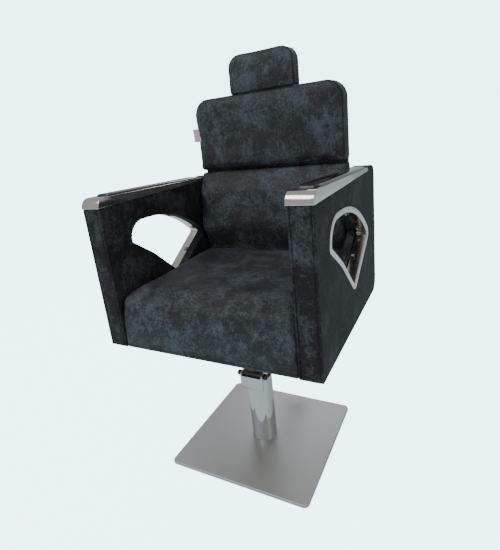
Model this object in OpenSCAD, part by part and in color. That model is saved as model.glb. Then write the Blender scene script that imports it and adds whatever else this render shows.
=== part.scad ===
// Styling chair: square base, hydraulic pump with a foot lever, swivelling seat between two
// upholstered arm panels, reclining back in two cushions and a headrest that slides up.
// Millimetres. Z is up, the chair faces -Y, and the origin is on the floor on the pump's axis.

/* [Base] */
// Side of the square base
base_w = 450; // [420:1:480]
// Corner radius of the base
base_corner_r = 16; // [10:1:30]
// Thickness of the steel base plate
plate_t = 8; // [6:1:12]
// Thickness of the rubber sheet under the base plate
mat_t = 2; // [1.5:0.5:3]

/* [Pump] */
// Outside diameter of the chrome tube round the pump
tube_d = 80; // [80:1:84]
// Height of the top of that tube above the floor
tube_top = 236; // [230:1:240]
// Diameter of the chromed ram
ram_d = 32; // [28:1:32]
// Radial running clearance of pins, ram and piston
run_clear = 0.05; // [0.02:0.01:0.08]
// Distance from the pump's axis to the end of the foot lever
lever_reach = 330; // [290:5:340]

/* [Seat] */
// Width of the seat between the arm panels
seat_w = 502; // [490:1:510]
// Height of the underside of the seat and arm panels above the floor
seat_bottom = 448; // [446:1:460]
// Height of the top of the seat cushion above the floor
seat_top = 600; // [594:1:606]
// Distance from the pump's axis to the front of the seat
seat_front = 284.5; // [280:0.5:290]
// Distance from the pump's axis to the rear edge of the seat cushion
seat_rear = 172; // [165:1:174]

/* [Arms] */
// Thickness of an arm panel
arm_t = 58; // [54:1:62]
// Distance from the pump's axis to the rear edge of the arm panels
arm_rear = 291; // [285:1:300]
// Height of the upholstered arm top, under the cap
arm_top = 834; // [830:1:840]
// Height of the arm cap's side at its front
cap_front_h = 28; // [26:1:32]
// Height of the arm cap's side at its rear
cap_rear_h = 10; // [8:1:14]
// Thickness of the sheet of the caps and trim rings
sheet_t = 1.5; // [1.2:0.1:1.8]
// Width of the face of the trim ring round an arm's cut-out
ring_face_w = 15; // [12:0.5:18]

/* [Back] */
// Width of the back cushions
back_w = 492; // [470:1:494]
// Distance from the pump's axis to the front of the upper back cushion
back_front = 197; // [194:1:200]
// Distance from the pump's axis to the rear of the back
back_rear = 267; // [266:1:272]
// Height of the top of the lower back cushion
lower_back_top = 860; // [850:1:860]
// Height of the bottom of the upper back cushion
upper_back_bottom = 866; // [864:1:874]
// Height of the top of the upper back cushion
upper_back_top = 1093; // [1080:1:1100]
// Width of the headrest
headrest_w = 214; // [190:1:230]
// Height of the headrest cushion
headrest_h = 107; // [100:1:115]

/* [Hidden] */

$fn = 64;
touch = 0.2;            // how far a cutter runs past the face that it cuts

// Base and pump heights
plate_top = mat_t + plate_t;
cover_t = 1.2;
cover_top = plate_top + cover_t;
tube_wall = 1.5;
body_r = tube_d / 2 - tube_wall - 0.5;
chamber_r = 23;
chamber_floor = 24;
body_top = tube_top - 20;
head_top = tube_top + 26;
ram_r = ram_d / 2;
bush_r = ram_r + 3;
ram_bottom = 170;
piston_h = 20;
washer_t = 2;
plunger_y = 31;
plunger_r = 4;
plunger_top = head_top - 9;
plunger_bottom = plunger_top - 24;
spring_floor = 192;

// Foot lever: its pin runs along X at the front of the pump head
pin_y = -42;
pin_z = tube_top + 22;
pin_r = 5;
lug_half = 32;
cheek_half = 38;
cheek_t = 5;
bridge_front = -55;
bridge_bottom = tube_top - 25;
bridge_top = tube_top + 18;
cross_near = 27;
cross_far = 39;
pedal_z = 135;

// Seat and ram
hub_r = 32;
hub_h = 40;
bracket_t = 8;
bracket_bottom = seat_bottom - bracket_t;
spigot_r = 13;
bolt_x = 90;
bolt_y = 80;
board_t = 18;
board_top = seat_bottom + board_t;
board_front = -262;
board_rear = 236;
seat_half = seat_w / 2;
arm_outer = seat_half + arm_t;

// Recline hinge: its axis runs along X under the back
hinge_y = 215;
hinge_z = 505;
hinge_pin_r = 6;
ear_r = 14;
ear_x = 162;
ear_t = 6;
hinge_gap = 0.5;
bracket_screw_y = [-12, 10];

// Back and headrest
back_board_t = 15;
rear_cover_t = 6;
board_back = back_rear - rear_cover_t;
board_face = board_back - back_board_t;
back_half = back_w / 2;
board_half = 225;
rod_x = 45;
rod_y = 232;
rod_r = 6;
guide_r = 9;
guide_bottom = 940;
rod_bottom = 960;
headrest_bottom = upper_back_top + 3;
headrest_top = headrest_bottom + headrest_h;
rod_cross_z = headrest_bottom + 52;

// Corners of the trim ring's outline on the arm panel: [y, z, corner radius]
ring_corners = [
    [-199, 787, 65],
    [-199, 713, 14],
    [-110, 652, 0],
    [8, 544, 26],
    [201, 660, 22],
    [46, 787, 430]
];
opening_inset = 6;      // the upholstered opening is this much inside the ring's outline
flange_depth = 30;
ring_face_t = 2;
// Where a clip holds the ring: [corner number, fraction of the way to the next corner],
// with a fraction of 0 for the middle of the corner's own arc
clip_places = [[1, 0.75], [3, 0.5], [4, 0.235], [5, 0]];
clip_room = 0.6;        // between a clip and the surfaces on both sides of it

// Outline with a round at each corner; a corner is [a, b, radius]
function unit(v) = v / norm(v);
function corner_point(c) = [c[0], c[1]];
function swing(from, to) = let (d = to - from) d > 180 ? d - 360 : d < -180 ? d + 360 : d;
function corner_arc(before, at, after, r, steps = 10) =
    let (
        u = unit(before - at),
        v = unit(after - at),
        half = acos(u * v) / 2,
        centre = at + unit(u + v) * r / sin(half),
        first = at + u * r / tan(half) - centre,
        last = at + v * r / tan(half) - centre,
        a0 = atan2(first[1], first[0]),
        turn = swing(a0, atan2(last[1], last[0]))
    )
    [for (i = [0:steps]) centre + r * [cos(a0 + turn * i / steps), sin(a0 + turn * i / steps)]];
function rounded(corners) = [
    for (i = [0:len(corners) - 1])
        let (
            before = corner_point(corners[(i + len(corners) - 1) % len(corners)]),
            at = corner_point(corners[i]),
            after = corner_point(corners[(i + 1) % len(corners)])
        )
        each (corners[i][2] > 0 ? corner_arc(before, at, after, corners[i][2]) : [at])
];

// Directions from a corner to the one before it and to the one after it
function ways(corners, i) =
    let (at = corner_point(corners[i]), count = len(corners))
    [
        unit(corner_point(corners[(i + count - 1) % count]) - at),
        unit(corner_point(corners[(i + 1) % count]) - at)
    ];

// The corners of an anticlockwise outline moved inwards by d, their radii made smaller by as much
function inset(corners, d) = [
    for (i = [0:len(corners) - 1])
        let (
            way = ways(corners, i),
            on = unit(way[1] - way[0]),
            half = acos(way[0] * way[1]) / 2,
            moved = corner_point(corners[i]) + [-on[1], on[0]] * d / sin(half)
        )
        [moved[0], moved[1], corners[i][2] > 0 ? max(corners[i][2] - d, 0) : 0]
];

// Extrudes an outline drawn in Y and Z along X, from x0 to x1
module along_x(x0, x1) {
    translate([x0, 0, 0])
        rotate([90, 0, 90])
            linear_extrude(height = x1 - x0)
                children();
}

// The right-hand piece as drawn, or its mirror image on the left
module on_side(side) {
    if (side > 0) children();
    else mirror([1, 0, 0]) children();
}

module rounded_square(w, r) {
    h = w / 2;
    polygon(rounded([[-h, -h, r], [h, -h, r], [h, h, r], [-h, h, r]]));
}

module tube(r_out, r_in, z0, z1) {
    translate([0, 0, z0])
        difference() {
            cylinder(r = r_out, h = z1 - z0);
            translate([0, 0, -touch])
                cylinder(r = r_in, h = z1 - z0 + 2 * touch);
        }
}

// Bolt along +Z: shank from z = 0 up to length, hexagon head below z = 0
module hex_bolt(r, length, head_w, head_h) {
    cylinder(r = r, h = length);
    translate([0, 0, -head_h])
        cylinder(r = head_w / 2, h = head_h, $fn = 6);
}

// Round-headed screw along +Z: shank from z = 0 up to length, head below z = 0
module round_screw(r, length, head_r, head_h) {
    cylinder(r = r, h = length);
    translate([0, 0, -head_h])
        cylinder(r1 = head_r * 0.7, r2 = head_r, h = head_h);
}

// ---- Base ----

module base_mat() {
    color("dimgray")
        linear_extrude(height = mat_t)
            rounded_square(base_w - 10, base_corner_r - 5);
}

// Countersunk holes for the four screws that hold the pump from below
screw_ring_r = 27;
screw_r = 5;
screw_head_r = 9;
screw_angles = [45, 135, 225, 315];

module base_plate() {
    color("darkslategray")
        difference() {
            translate([0, 0, mat_t])
                linear_extrude(height = plate_t)
                    rounded_square(base_w - 2 * cover_t - 0.4, base_corner_r - cover_t);
            for (a = screw_angles)
                rotate([0, 0, a])
                    translate([screw_ring_r, 0, mat_t]) {
                        translate([0, 0, -touch])
                            cylinder(r = screw_r, h = plate_t + 2 * touch);
                        translate([0, 0, -0.01])
                            cylinder(r1 = screw_head_r, r2 = screw_r, h = screw_head_r - screw_r);
                    }
        }
}

module base_cover() {
    color("silver")
        difference() {
            translate([0, 0, mat_t])
                linear_extrude(height = plate_t + cover_t)
                    rounded_square(base_w, base_corner_r);
            translate([0, 0, mat_t - touch])
                linear_extrude(height = plate_t + touch)
                    rounded_square(base_w - 2 * cover_t, base_corner_r - cover_t);
            translate([0, 0, plate_top - touch])
                cylinder(r = body_r + 0.2, h = cover_t + 2 * touch);
        }
}

module base_screws() {
    color("gray")
        for (a = screw_angles)
            rotate([0, 0, a])
                translate([screw_ring_r, 0, mat_t]) {
                    cylinder(r = screw_r - 0.05, h = plate_t + 10);
                    cylinder(r1 = screw_head_r - 0.1, r2 = screw_r - 0.1, h = screw_head_r - screw_r);
                }
}

// ---- Pump, fixed to the base ----

module pump_body() {
    color("slategray")
        difference() {
            translate([0, 0, plate_top])
                cylinder(r = body_r, h = body_top - plate_top);
            translate([0, 0, chamber_floor])
                cylinder(r = chamber_r, h = body_top - chamber_floor + touch);
            translate([0, plunger_y, spring_floor])
                cylinder(r = plunger_r + run_clear, h = body_top - spring_floor + touch);
            for (a = screw_angles)
                rotate([0, 0, a])
                    translate([screw_ring_r, 0, plate_top - touch])
                        cylinder(r = screw_r, h = 11);
        }
}

module pump_cover() {
    color("gainsboro")
        tube(tube_d / 2, tube_d / 2 - tube_wall, cover_top, tube_top);
}

module pump_head() {
    color("black")
        difference() {
            union() {
                translate([0, 0, body_top])
                    cylinder(r = body_r, h = tube_top - body_top);
                translate([0, 0, tube_top - touch])
                    cylinder(r = 23, h = head_top - tube_top + touch);
                translate([-lug_half, -48, tube_top])
                    cube([2 * lug_half, 28, pin_z + 8 - tube_top]);
            }
            translate([0, 0, body_top - touch])
                cylinder(r = bush_r, h = head_top - body_top + 2 * touch);
            translate([0, 0, head_top - 6])
                cylinder(r = 21, h = 6 + touch);
            translate([0, plunger_y, body_top - touch])
                cylinder(r = plunger_r + run_clear, h = tube_top - body_top + 2 * touch);
            translate([-lug_half - touch, pin_y, pin_z])
                rotate([0, 90, 0])
                    cylinder(r = pin_r, h = 2 * (lug_half + touch));
        }
}

module guide_bush() {
    color("darkgoldenrod")
        tube(bush_r, ram_r + run_clear, body_top, head_top - 8);
}

module wiper_seal() {
    color("black")
        tube(21, ram_r + run_clear, head_top - 6, head_top);
}

// ---- Foot lever ----

module lever_pin() {
    color("dimgray")
        translate([-cheek_half - 4, pin_y, pin_z])
            rotate([0, 90, 0])
                cylinder(r = pin_r, h = 2 * (cheek_half + 4));
}

module lever_pin_caps() {
    color("black")
        for (side = [-1, 1])
            on_side(side)
                translate([cheek_half + 0.8, pin_y, pin_z])
                    rotate([0, 90, 0])
                        difference() {
                            union() {
                                cylinder(r = 9, h = 8);
                                translate([0, 0, 8])
                                    cylinder(r1 = 9, r2 = 6, h = 4);
                            }
                            translate([0, 0, -touch])
                                cylinder(r = pin_r, h = 3.2 + touch);
                        }
}

module pump_lever() {
    color("gainsboro")
        difference() {
            union() {
                // bridge across the front of the pump
                translate([-cheek_half, bridge_front, bridge_bottom])
                    cube([2 * cheek_half, cheek_t, bridge_top - bridge_bottom]);
                // a cheek on each side of the pump head
                for (side = [-1, 1])
                    on_side(side)
                        along_x(cheek_half - cheek_t, cheek_half)
                            polygon(rounded([
                                [bridge_front, bridge_top - 12, 0],
                                [-32, bridge_top - 12, 6],
                                [-24, pin_z - 6, 10],
                                [cross_far, pin_z - 6, 0],
                                [cross_far, pin_z + 6, 5],
                                [pin_y + 10, pin_z + 8, 10],
                                [bridge_front, pin_z + 8, 8]
                            ]));
                // cross bar behind the ram, which presses the plunger
                translate([-cheek_half, cross_near, pin_z - 4])
                    cube([2 * cheek_half, cross_far - cross_near, 9]);
                // arm down to the pedal
                along_x(-15, 15)
                    polygon(rounded([
                        [cross_near + 2, pin_z + 5, 0],
                        [cross_near + 2, pin_z - 4, 0],
                        [cross_far + 18, pin_z - 4, 25],
                        [lever_reach - 66, pedal_z, 30],
                        [lever_reach - 4, pedal_z, 0],
                        [lever_reach - 4, pedal_z + 8, 0],
                        [lever_reach - 62, pedal_z + 8, 30],
                        [cross_far + 22, pin_z + 5, 25]
                    ]));
            }
            translate([-cheek_half - touch, pin_y, pin_z])
                rotate([0, 90, 0])
                    cylinder(r = pin_r + run_clear, h = 2 * (cheek_half + touch));
        }
}

module pedal_grip() {
    color("black")
        difference() {
            along_x(-26, 26)
                polygon(rounded([
                    [lever_reach - 54, pedal_z - 5, 4],
                    [lever_reach, pedal_z - 5, 4],
                    [lever_reach, pedal_z + 13, 6],
                    [lever_reach - 54, pedal_z + 13, 6]
                ]));
            translate([-15, lever_reach - 55, pedal_z])
                cube([30, 51, 8]);
        }
}

module pump_plunger() {
    color("lightgray")
        translate([0, plunger_y, 0]) {
            translate([0, 0, plunger_bottom])
                cylinder(r = plunger_r, h = plunger_top - plunger_bottom - 3);
            translate([0, 0, plunger_top - 3])
                cylinder(r1 = plunger_r, r2 = 2.5, h = 3);
        }
}

// Return spring under the plunger, in the blind hole of the pump body
spring_turns = 8;
spring_wire_r = 0.6;
spring_coil_r = 3.2;
spring_sides = 8;
spring_rings = 96;
function spring_centre(i) =
    let (t = i / (spring_rings - 1), a = 360 * spring_turns * t)
    [spring_coil_r * cos(a), spring_coil_r * sin(a),
     spring_floor + spring_wire_r + 0.1 + t * (plunger_bottom - spring_floor - 2 * spring_wire_r - 0.2)];
function spring_point(i, j) =
    let (
        a = 360 * spring_turns * i / (spring_rings - 1),
        b = 360 * j / spring_sides
    )
    spring_centre(i) + spring_wire_r * [cos(b) * cos(a), cos(b) * sin(a), sin(b)];

module plunger_spring() {
    points = [for (i = [0:spring_rings - 1]) for (j = [0:spring_sides - 1]) spring_point(i, j)];
    sides = [
        for (i = [0:spring_rings - 2]) for (j = [0:spring_sides - 1])
            let (k = (j + 1) % spring_sides, n = i * spring_sides, m = n + spring_sides)
            [n + j, m + j, m + k, n + k]
    ];
    ends = [
        [for (j = [0:spring_sides - 1]) j],
        [for (j = [spring_sides - 1:-1:0]) (spring_rings - 1) * spring_sides + j]
    ];
    color("silver")
        translate([0, plunger_y, 0])
            polyhedron(points = points, faces = concat(sides, ends), convexity = 4);
}

// ---- Lift: slides in the pump body ----

groove_r = chamber_r - 3;

module piston() {
    color("lightsteelblue")
        difference() {
            translate([0, 0, ram_bottom - washer_t - piston_h])
                cylinder(r = chamber_r - run_clear, h = piston_h);
            for (z = [5, 12])
                tube(chamber_r + 1, groove_r, ram_bottom - washer_t - piston_h + z,
                     ram_bottom - washer_t - piston_h + z + 3);
        }
}

module piston_seals() {
    color("black")
        for (z = [5, 12])
            tube(chamber_r - run_clear, groove_r, ram_bottom - washer_t - piston_h + z,
                 ram_bottom - washer_t - piston_h + z + 3);
}

module thrust_washer() {
    color("goldenrod")
        translate([0, 0, ram_bottom - washer_t])
            cylinder(r = ram_r, h = washer_t - 0.1);
}

// ---- Seat: turns on the lift ----

module ram() {
    color("gainsboro") {
        translate([0, 0, ram_bottom])
            cylinder(r = ram_r, h = bracket_bottom - hub_h + 2 - ram_bottom);
        translate([0, 0, bracket_bottom - hub_h])
            cylinder(r = spigot_r, h = hub_h + bracket_t - 1);
    }
}

module seat_bracket() {
    color("black")
        difference() {
            union() {
                translate([0, 0, bracket_bottom - hub_h])
                    cylinder(r = hub_r, h = hub_h);
                translate([0, 0, bracket_bottom])
                    linear_extrude(height = bracket_t)
                        polygon(rounded([
                            [-110, -100, 12], [110, -100, 12], [110, 100, 12], [-110, 100, 12]
                        ]));
                for (a = [0:90:270])
                    rotate([0, 0, a])
                        translate([0, -3, 0])
                            bracket_rib();
            }
            translate([0, 0, bracket_bottom - hub_h - touch])
                cylinder(r = ram_r, h = 2 + touch);
            translate([0, 0, bracket_bottom - hub_h])
                cylinder(r = spigot_r, h = hub_h + bracket_t + touch);
            for (x = [-bolt_x, bolt_x], y = [-bolt_y, bolt_y])
                translate([x, y, bracket_bottom - touch])
                    cylinder(r = 4.5, h = bracket_t + 2 * touch);
        }
}

// Triangular rib from the hub to the bracket's plate
module bracket_rib() {
    translate([0, 6, 0])
        rotate([90, 0, 0])
            linear_extrude(height = 6)
                polygon([
                    [hub_r - 2, bracket_bottom - hub_h + 6],
                    [hub_r + 2, bracket_bottom - hub_h + 6],
                    [88, bracket_bottom],
                    [hub_r - 2, bracket_bottom]
                ]);
}

module bracket_bolts() {
    color("silver")
        for (x = [-bolt_x, bolt_x], y = [-bolt_y, bolt_y])
            translate([x, y, bracket_bottom])
                hex_bolt(4.4, bracket_t + 14, 14, 5.5);
}

module seat_board() {
    color("burlywood")
        difference() {
            translate([-seat_half, board_front, seat_bottom])
                cube([seat_w, board_rear - board_front, board_t]);
            translate([0, 0, seat_bottom - touch])
                cylinder(r = spigot_r + 1, h = board_t + 2 * touch);
            for (x = [-bolt_x, bolt_x], y = [-bolt_y, bolt_y])
                translate([x, y, seat_bottom - touch])
                    cylinder(r = 4.5, h = board_t + 2 * touch);
            for (side = [-1, 1])
                on_side(side) {
                    arm_bolt_holes(arm_mid + 6 - arm_bolt_l, seat_half + 1, arm_bolt_r + 0.1);
                    for (y = bracket_screw_y)
                        translate([ear_x - 13, hinge_y + y, board_top - 12])
                            cylinder(r = 3.1, h = 12 + touch);
                }
        }
}

module seat_cushion() {
    color([0.2, 0.22, 0.25])
        along_x(-seat_half, seat_half)
            polygon(rounded([
                [-seat_front, seat_bottom, 0],
                [board_front, seat_bottom, 0],
                [board_front, board_top, 0],
                [seat_rear, board_top, 0],
                [seat_rear, seat_top, 12],
                [-seat_front, seat_top, 34]
            ]));
}

// ---- Arms ----

cap_rear_y = 200;
cap_nose_r = cap_front_h - 2;
cap_side = 1;           // the cap stands this much proud of the panel
cap_half = arm_t / 2 + cap_side;
arm_mid = seat_half + arm_t / 2;
cap_slope = (cap_front_h - cap_rear_h) / (cap_rear_y + seat_front);
function cap_z(y) = arm_top + cap_front_h - cap_slope * (y + seat_front);

module ring_outline(d) {
    polygon(rounded(inset(ring_corners, d)));
}

module panel_outline() {
    polygon(rounded([
        [-seat_front, seat_bottom, 6],
        [arm_rear, seat_bottom, 38],
        [arm_rear, arm_top + 9, 30],
        [cap_rear_y + 0.5, arm_top + cap_rear_h, 0],
        [cap_rear_y + 0.5, arm_top, 0],
        [-seat_front, arm_top, 0]
    ]));
}

// Bolts that hold an arm panel to the edge of the seat's board
arm_bolt_y = [-200, -20, 160];
arm_bolt_z = seat_bottom + board_t / 2;
arm_bolt_r = 3.5;
arm_bolt_l = 80;
module arm_bolt_holes(x0, x1, r) {
    for (y = arm_bolt_y)
        translate([x0, y, arm_bolt_z])
            rotate([0, 90, 0])
                cylinder(r = r, h = x1 - x0);
}

// The plywood panel inside the padding; it runs up into the cap
module frame_outline() {
    difference() {
        polygon(rounded([
            [-seat_front + 12, seat_bottom + 1, 4],
            [arm_rear - 12, seat_bottom + 1, 28],
            [arm_rear - 12, arm_top - 4, 24],
            [cap_rear_y - 4, arm_top - 4, 0],
            [cap_rear_y - 4, cap_z(cap_rear_y - 4) - sheet_t - 0.5, 0],
            [-seat_front + 30, cap_z(-seat_front + 30) - sheet_t - 0.5, 6],
            [-seat_front + 12, arm_top - 4, 0]
        ]));
        ring_outline(-4);
    }
}

module arm_frame(side) {
    color("burlywood")
        on_side(side)
            difference() {
                along_x(arm_mid - 14, arm_mid + 14)
                    frame_outline();
                arm_bolt_holes(arm_mid - 15, arm_mid + 7, arm_bolt_r + 0.1);
                arm_bolt_holes(arm_mid + 2, arm_mid + 15, 8.2);
            }
}

module arm_cover(side) {
    color([0.16, 0.17, 0.19])
        on_side(side)
            difference() {
                along_x(seat_half, arm_outer)
                    difference() {
                        panel_outline();
                        ring_outline(opening_inset);
                    }
                along_x(arm_mid - 14, arm_mid + 14)
                    frame_outline();
                arm_bolt_holes(seat_half - 1, arm_mid - 13, arm_bolt_r + 0.1);
            }
}

// Side outline of the cap, moved inwards by d, with its lower edge at z
function cap_corners(d, z) = [
    [-seat_front - 1 + d, z, 0],
    [cap_rear_y - d, z, 0],
    [cap_rear_y - d, cap_z(cap_rear_y - d) - d, 0],
    [-seat_front - 1 + d, cap_z(-seat_front - 1 + d) - d, cap_nose_r - d]
];

module arm_cap(side) {
    color("gainsboro")
        on_side(side)
            difference() {
                along_x(arm_mid - cap_half, arm_mid + cap_half)
                    polygon(rounded(cap_corners(0, arm_top)));
                along_x(arm_mid - cap_half + sheet_t, arm_mid + cap_half - sheet_t)
                    polygon(rounded(cap_corners(sheet_t, arm_top - 1)));
            }
}

pad_front = -236;
pad_rear = 188;
pad_t = 5;
pad_half = 25;

module arm_pad(side) {
    color("black")
        on_side(side)
            difference() {
                along_x(arm_mid - pad_half, arm_mid + pad_half)
                    polygon([
                        [pad_front, cap_z(pad_front)],
                        [pad_rear, cap_z(pad_rear)],
                        [pad_rear - 3, cap_z(pad_rear) + pad_t],
                        [pad_front + 3, cap_z(pad_front) + pad_t]
                    ]);
                // bevels along both long edges
                for (end = [-1, 1])
                    along_x(arm_mid + end * pad_half - 3, arm_mid + end * pad_half + 3)
                        polygon([
                            [pad_front - 1, cap_z(pad_front - 1) + pad_t - 1.5],
                            [pad_rear + 1, cap_z(pad_rear + 1) + pad_t - 1.5],
                            [pad_rear + 1, cap_z(pad_rear + 1) + pad_t + 1],
                            [pad_front - 1, cap_z(pad_front - 1) + pad_t + 1]
                        ]);
            }
}

module trim_ring(side) {
    color("gainsboro")
        on_side(side)
            difference() {
                union() {
                    along_x(arm_outer, arm_outer + ring_face_t)
                        ring_outline(0);
                    along_x(arm_outer - flange_depth, arm_outer + touch)
                        ring_outline(ring_face_w - sheet_t);
                }
                along_x(arm_outer - flange_depth - 1, arm_outer + ring_face_t + 1)
                    ring_outline(ring_face_w);
            }
}

// How far the middle of a corner's arc is from the corner
function arc_gap(corner, way) = corner[2] / sin(acos(way[0] * way[1]) / 2) - corner[2];

// Spring clips between the ring's flange and the upholstered edge, each with its screw
module ring_clips(side) {
    gap = ring_face_w - sheet_t - opening_inset;
    color("dimgray")
        on_side(side)
            for (place = clip_places) {
                corner = ring_corners[place[0]];
                next = ring_corners[(place[0] + 1) % len(ring_corners)];
                way = ways(ring_corners, place[0]);
                on_arc = place[1] == 0;
                along = on_arc ? unit(way[1] - way[0]) : way[1];
                inward = [-along[1], along[0]];
                outer = corner_point(corner) + (on_arc ? inward * arc_gap(corner, way)
                    : place[1] * (corner_point(next) - corner_point(corner)));
                centre = outer + inward * (opening_inset + gap / 2);
                translate([arm_outer - 26, centre[0], centre[1]])
                    rotate([atan2(along[1], along[0]), 0, 0]) {
                        translate([0, -9, -gap / 2 + clip_room])
                            cube([16, 18, gap - 2 * clip_room]);
                        translate([-4, 0, 0])
                            rotate([0, 90, 0])
                                cylinder(r = gap / 2 - 0.4, h = 4.1);
                    }
            }
}

module arm_bolts() {
    color("silver")
        for (side = [-1, 1])
            on_side(side)
                for (y = arm_bolt_y)
                    translate([arm_mid + 6, y, arm_bolt_z])
                        rotate([0, -90, 0]) {
                            cylinder(r = arm_bolt_r, h = arm_bolt_l);
                            cylinder(r = 8, h = 4);
                        }
}

// ---- Recline hinges on the seat ----

module hinge_brackets() {
    color("dimgray")
        for (side = [-1, 1])
            on_side(side)
                difference() {
                    union() {
                        translate([ear_x - 24, hinge_y - 20, board_top])
                            cube([24 + ear_t, 38, 4]);
                        along_x(ear_x, ear_x + ear_t) {
                            translate([hinge_y, hinge_z])
                                circle(r = ear_r);
                            translate([hinge_y - ear_r, board_top])
                                square([2 * ear_r, hinge_z - board_top]);
                        }
                    }
                    translate([ear_x - touch, hinge_y, hinge_z])
                        rotate([0, 90, 0])
                            cylinder(r = hinge_pin_r, h = ear_t + 2 * touch);
                    for (y = bracket_screw_y)
                        translate([ear_x - 13, hinge_y + y, board_top - touch])
                            cylinder(r = 3.2, h = 5);
                }
}

module hinge_pins() {
    color("silver")
        for (side = [-1, 1])
            on_side(side)
                translate([ear_x - 4, hinge_y, hinge_z])
                    rotate([0, 90, 0]) {
                        cylinder(r = 10, h = 4);
                        cylinder(r = hinge_pin_r, h = 4 + 2 * ear_t + 2 * hinge_gap);
                        translate([0, 0, 4 + 2 * ear_t + 2 * hinge_gap])
                            cylinder(r = 10, h = 3);
                    }
}

module bracket_screws() {
    color("silver")
        for (side = [-1, 1])
            on_side(side)
                for (y = bracket_screw_y)
                    translate([ear_x - 13, hinge_y + y, board_top + 4])
                        mirror([0, 0, 1])
                            round_screw(3, 14, 5.5, 3);
}

// ---- Back: turns on the hinge pins ----

arm_plate_x = ear_x + ear_t + hinge_gap;
arm_plate_top = 640;
flange_w = 32;

module hinge_arms() {
    color("dimgray")
        for (side = [-1, 1])
            on_side(side)
                difference() {
                    union() {
                        along_x(arm_plate_x, arm_plate_x + ear_t)
                            polygon(rounded([
                                [hinge_y - ear_r, hinge_z - ear_r, ear_r - 1],
                                [board_face - 1, hinge_z - ear_r, 4],
                                [board_face - 1, arm_plate_top, 0],
                                [board_face - 10, arm_plate_top, 6],
                                [hinge_y + ear_r, hinge_z + 50, 20],
                                [hinge_y - ear_r, hinge_z + 20, 14]
                            ]));
                        translate([arm_plate_x, board_face - 4, hinge_z - ear_r + 4])
                            cube([flange_w, 4, arm_plate_top - hinge_z + ear_r - 4]);
                    }
                    translate([arm_plate_x - touch, hinge_y, hinge_z])
                        rotate([0, 90, 0])
                            cylinder(r = hinge_pin_r + run_clear, h = ear_t + 2 * touch);
                    for (z = [550, 590, 630])
                        translate([arm_plate_x + 20, board_face - 4 - touch, z])
                            rotate([-90, 0, 0])
                                cylinder(r = 3.2, h = 4 + 2 * touch);
                }
}

module hinge_arm_screws() {
    color("silver")
        for (side = [-1, 1])
            on_side(side)
                for (z = [550, 590, 630])
                    translate([arm_plate_x + 20, board_face - 4, z])
                        rotate([-90, 0, 0])
                            round_screw(3, 15, 5.5, 3);
}

module back_board() {
    color("burlywood")
        difference() {
            translate([-board_half, board_face, 495])
                cube([2 * board_half, back_board_t, upper_back_top - 10 - 495]);
            for (side = [-1, 1], z = [550, 590, 630])
                on_side(side)
                    translate([arm_plate_x + 20, board_face - touch, z])
                        rotate([-90, 0, 0])
                            cylinder(r = 3, h = 11.2 + touch);
        }
}

// Pocket in the lower cushion for the hinge arms and their screws
module hinge_pockets() {
    for (side = [-1, 1])
        on_side(side)
            translate([arm_plate_x - 4, hinge_y - ear_r - 2, hinge_z - 30])
                cube([flange_w + 8, 60, arm_plate_top - hinge_z + 34]);
}

module lower_back_cushion() {
    color([0.2, 0.22, 0.25])
        difference() {
            along_x(-back_half, back_half)
                polygon(rounded([
                    [seat_rear + 5, 540, 8],
                    [board_face, 540, 0],
                    [board_face, lower_back_top, 6],
                    [back_front, lower_back_top, 14],
                    [164, 800, 60],
                    [146, 690, 60],
                    [seat_rear + 5, 612, 20]
                ]));
            hinge_pockets();
        }
}

module upper_back_cushion() {
    color([0.2, 0.22, 0.25])
        difference() {
            translate([0, board_face, 0])
                rotate([90, 0, 0])
                    linear_extrude(height = board_face - back_front)
                        polygon(rounded([
                            [-back_half, upper_back_bottom, 14],
                            [back_half, upper_back_bottom, 14],
                            [back_half, upper_back_top, 48],
                            [-back_half, upper_back_top, 48]
                        ]));
            for (x = [-rod_x, rod_x])
                translate([x, rod_y, guide_bottom - 1])
                    cylinder(r = guide_r + 0.3, h = upper_back_top - guide_bottom - 5);
            for (x = [-rod_x, rod_x])
                translate([x, rod_y, upper_back_top - 8])
                    cylinder(r = 13, h = 10);
        }
}

module rear_cover() {
    color([0.12, 0.12, 0.13])
        translate([0, back_rear, 0])
            rotate([90, 0, 0])
                linear_extrude(height = rear_cover_t)
                    polygon(rounded([
                        [-back_half + 4, 497, 20],
                        [back_half - 4, 497, 20],
                        [back_half - 4, upper_back_top - 4, 44],
                        [-back_half + 4, upper_back_top - 4, 44]
                    ]));
}

module headrest_guides() {
    color("gray")
        for (x = [-rod_x, rod_x])
            translate([x, rod_y, 0])
                tube(guide_r, rod_r + run_clear, guide_bottom, upper_back_top - 8);
}

module guide_collars() {
    color("black")
        for (x = [-rod_x, rod_x])
            translate([x, rod_y, 0])
                tube(12.8, rod_r + run_clear, upper_back_top - 8, upper_back_top + 0.6);
}

module label_tag() {
    color("mistyrose")
        translate([-back_half - 14, back_front + 3, 962])
            cube([14, 0.8, 42]);
}

// ---- Headrest: slides in the guides ----

module headrest_rods() {
    color("gainsboro")
        union() {
            for (x = [-rod_x, rod_x])
                translate([x, rod_y, rod_bottom])
                    cylinder(r = rod_r, h = rod_cross_z - rod_bottom);
            translate([-rod_x, rod_y, rod_cross_z])
                rotate([0, 90, 0])
                    cylinder(r = rod_r, h = 2 * rod_x);
            for (x = [-rod_x, rod_x])
                translate([x, rod_y, rod_cross_z])
                    sphere(r = rod_r);
        }
}

headrest_front = 200;
headrest_rear = 258;
headrest_board_face = rod_y + rod_r + 2;
headrest_board_t = 12;

module headrest_board() {
    color("burlywood")
        translate([-headrest_w / 2 + 14, headrest_board_face, headrest_bottom + 8])
            cube([headrest_w - 28, headrest_board_t, headrest_h - 16]);
}

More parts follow.
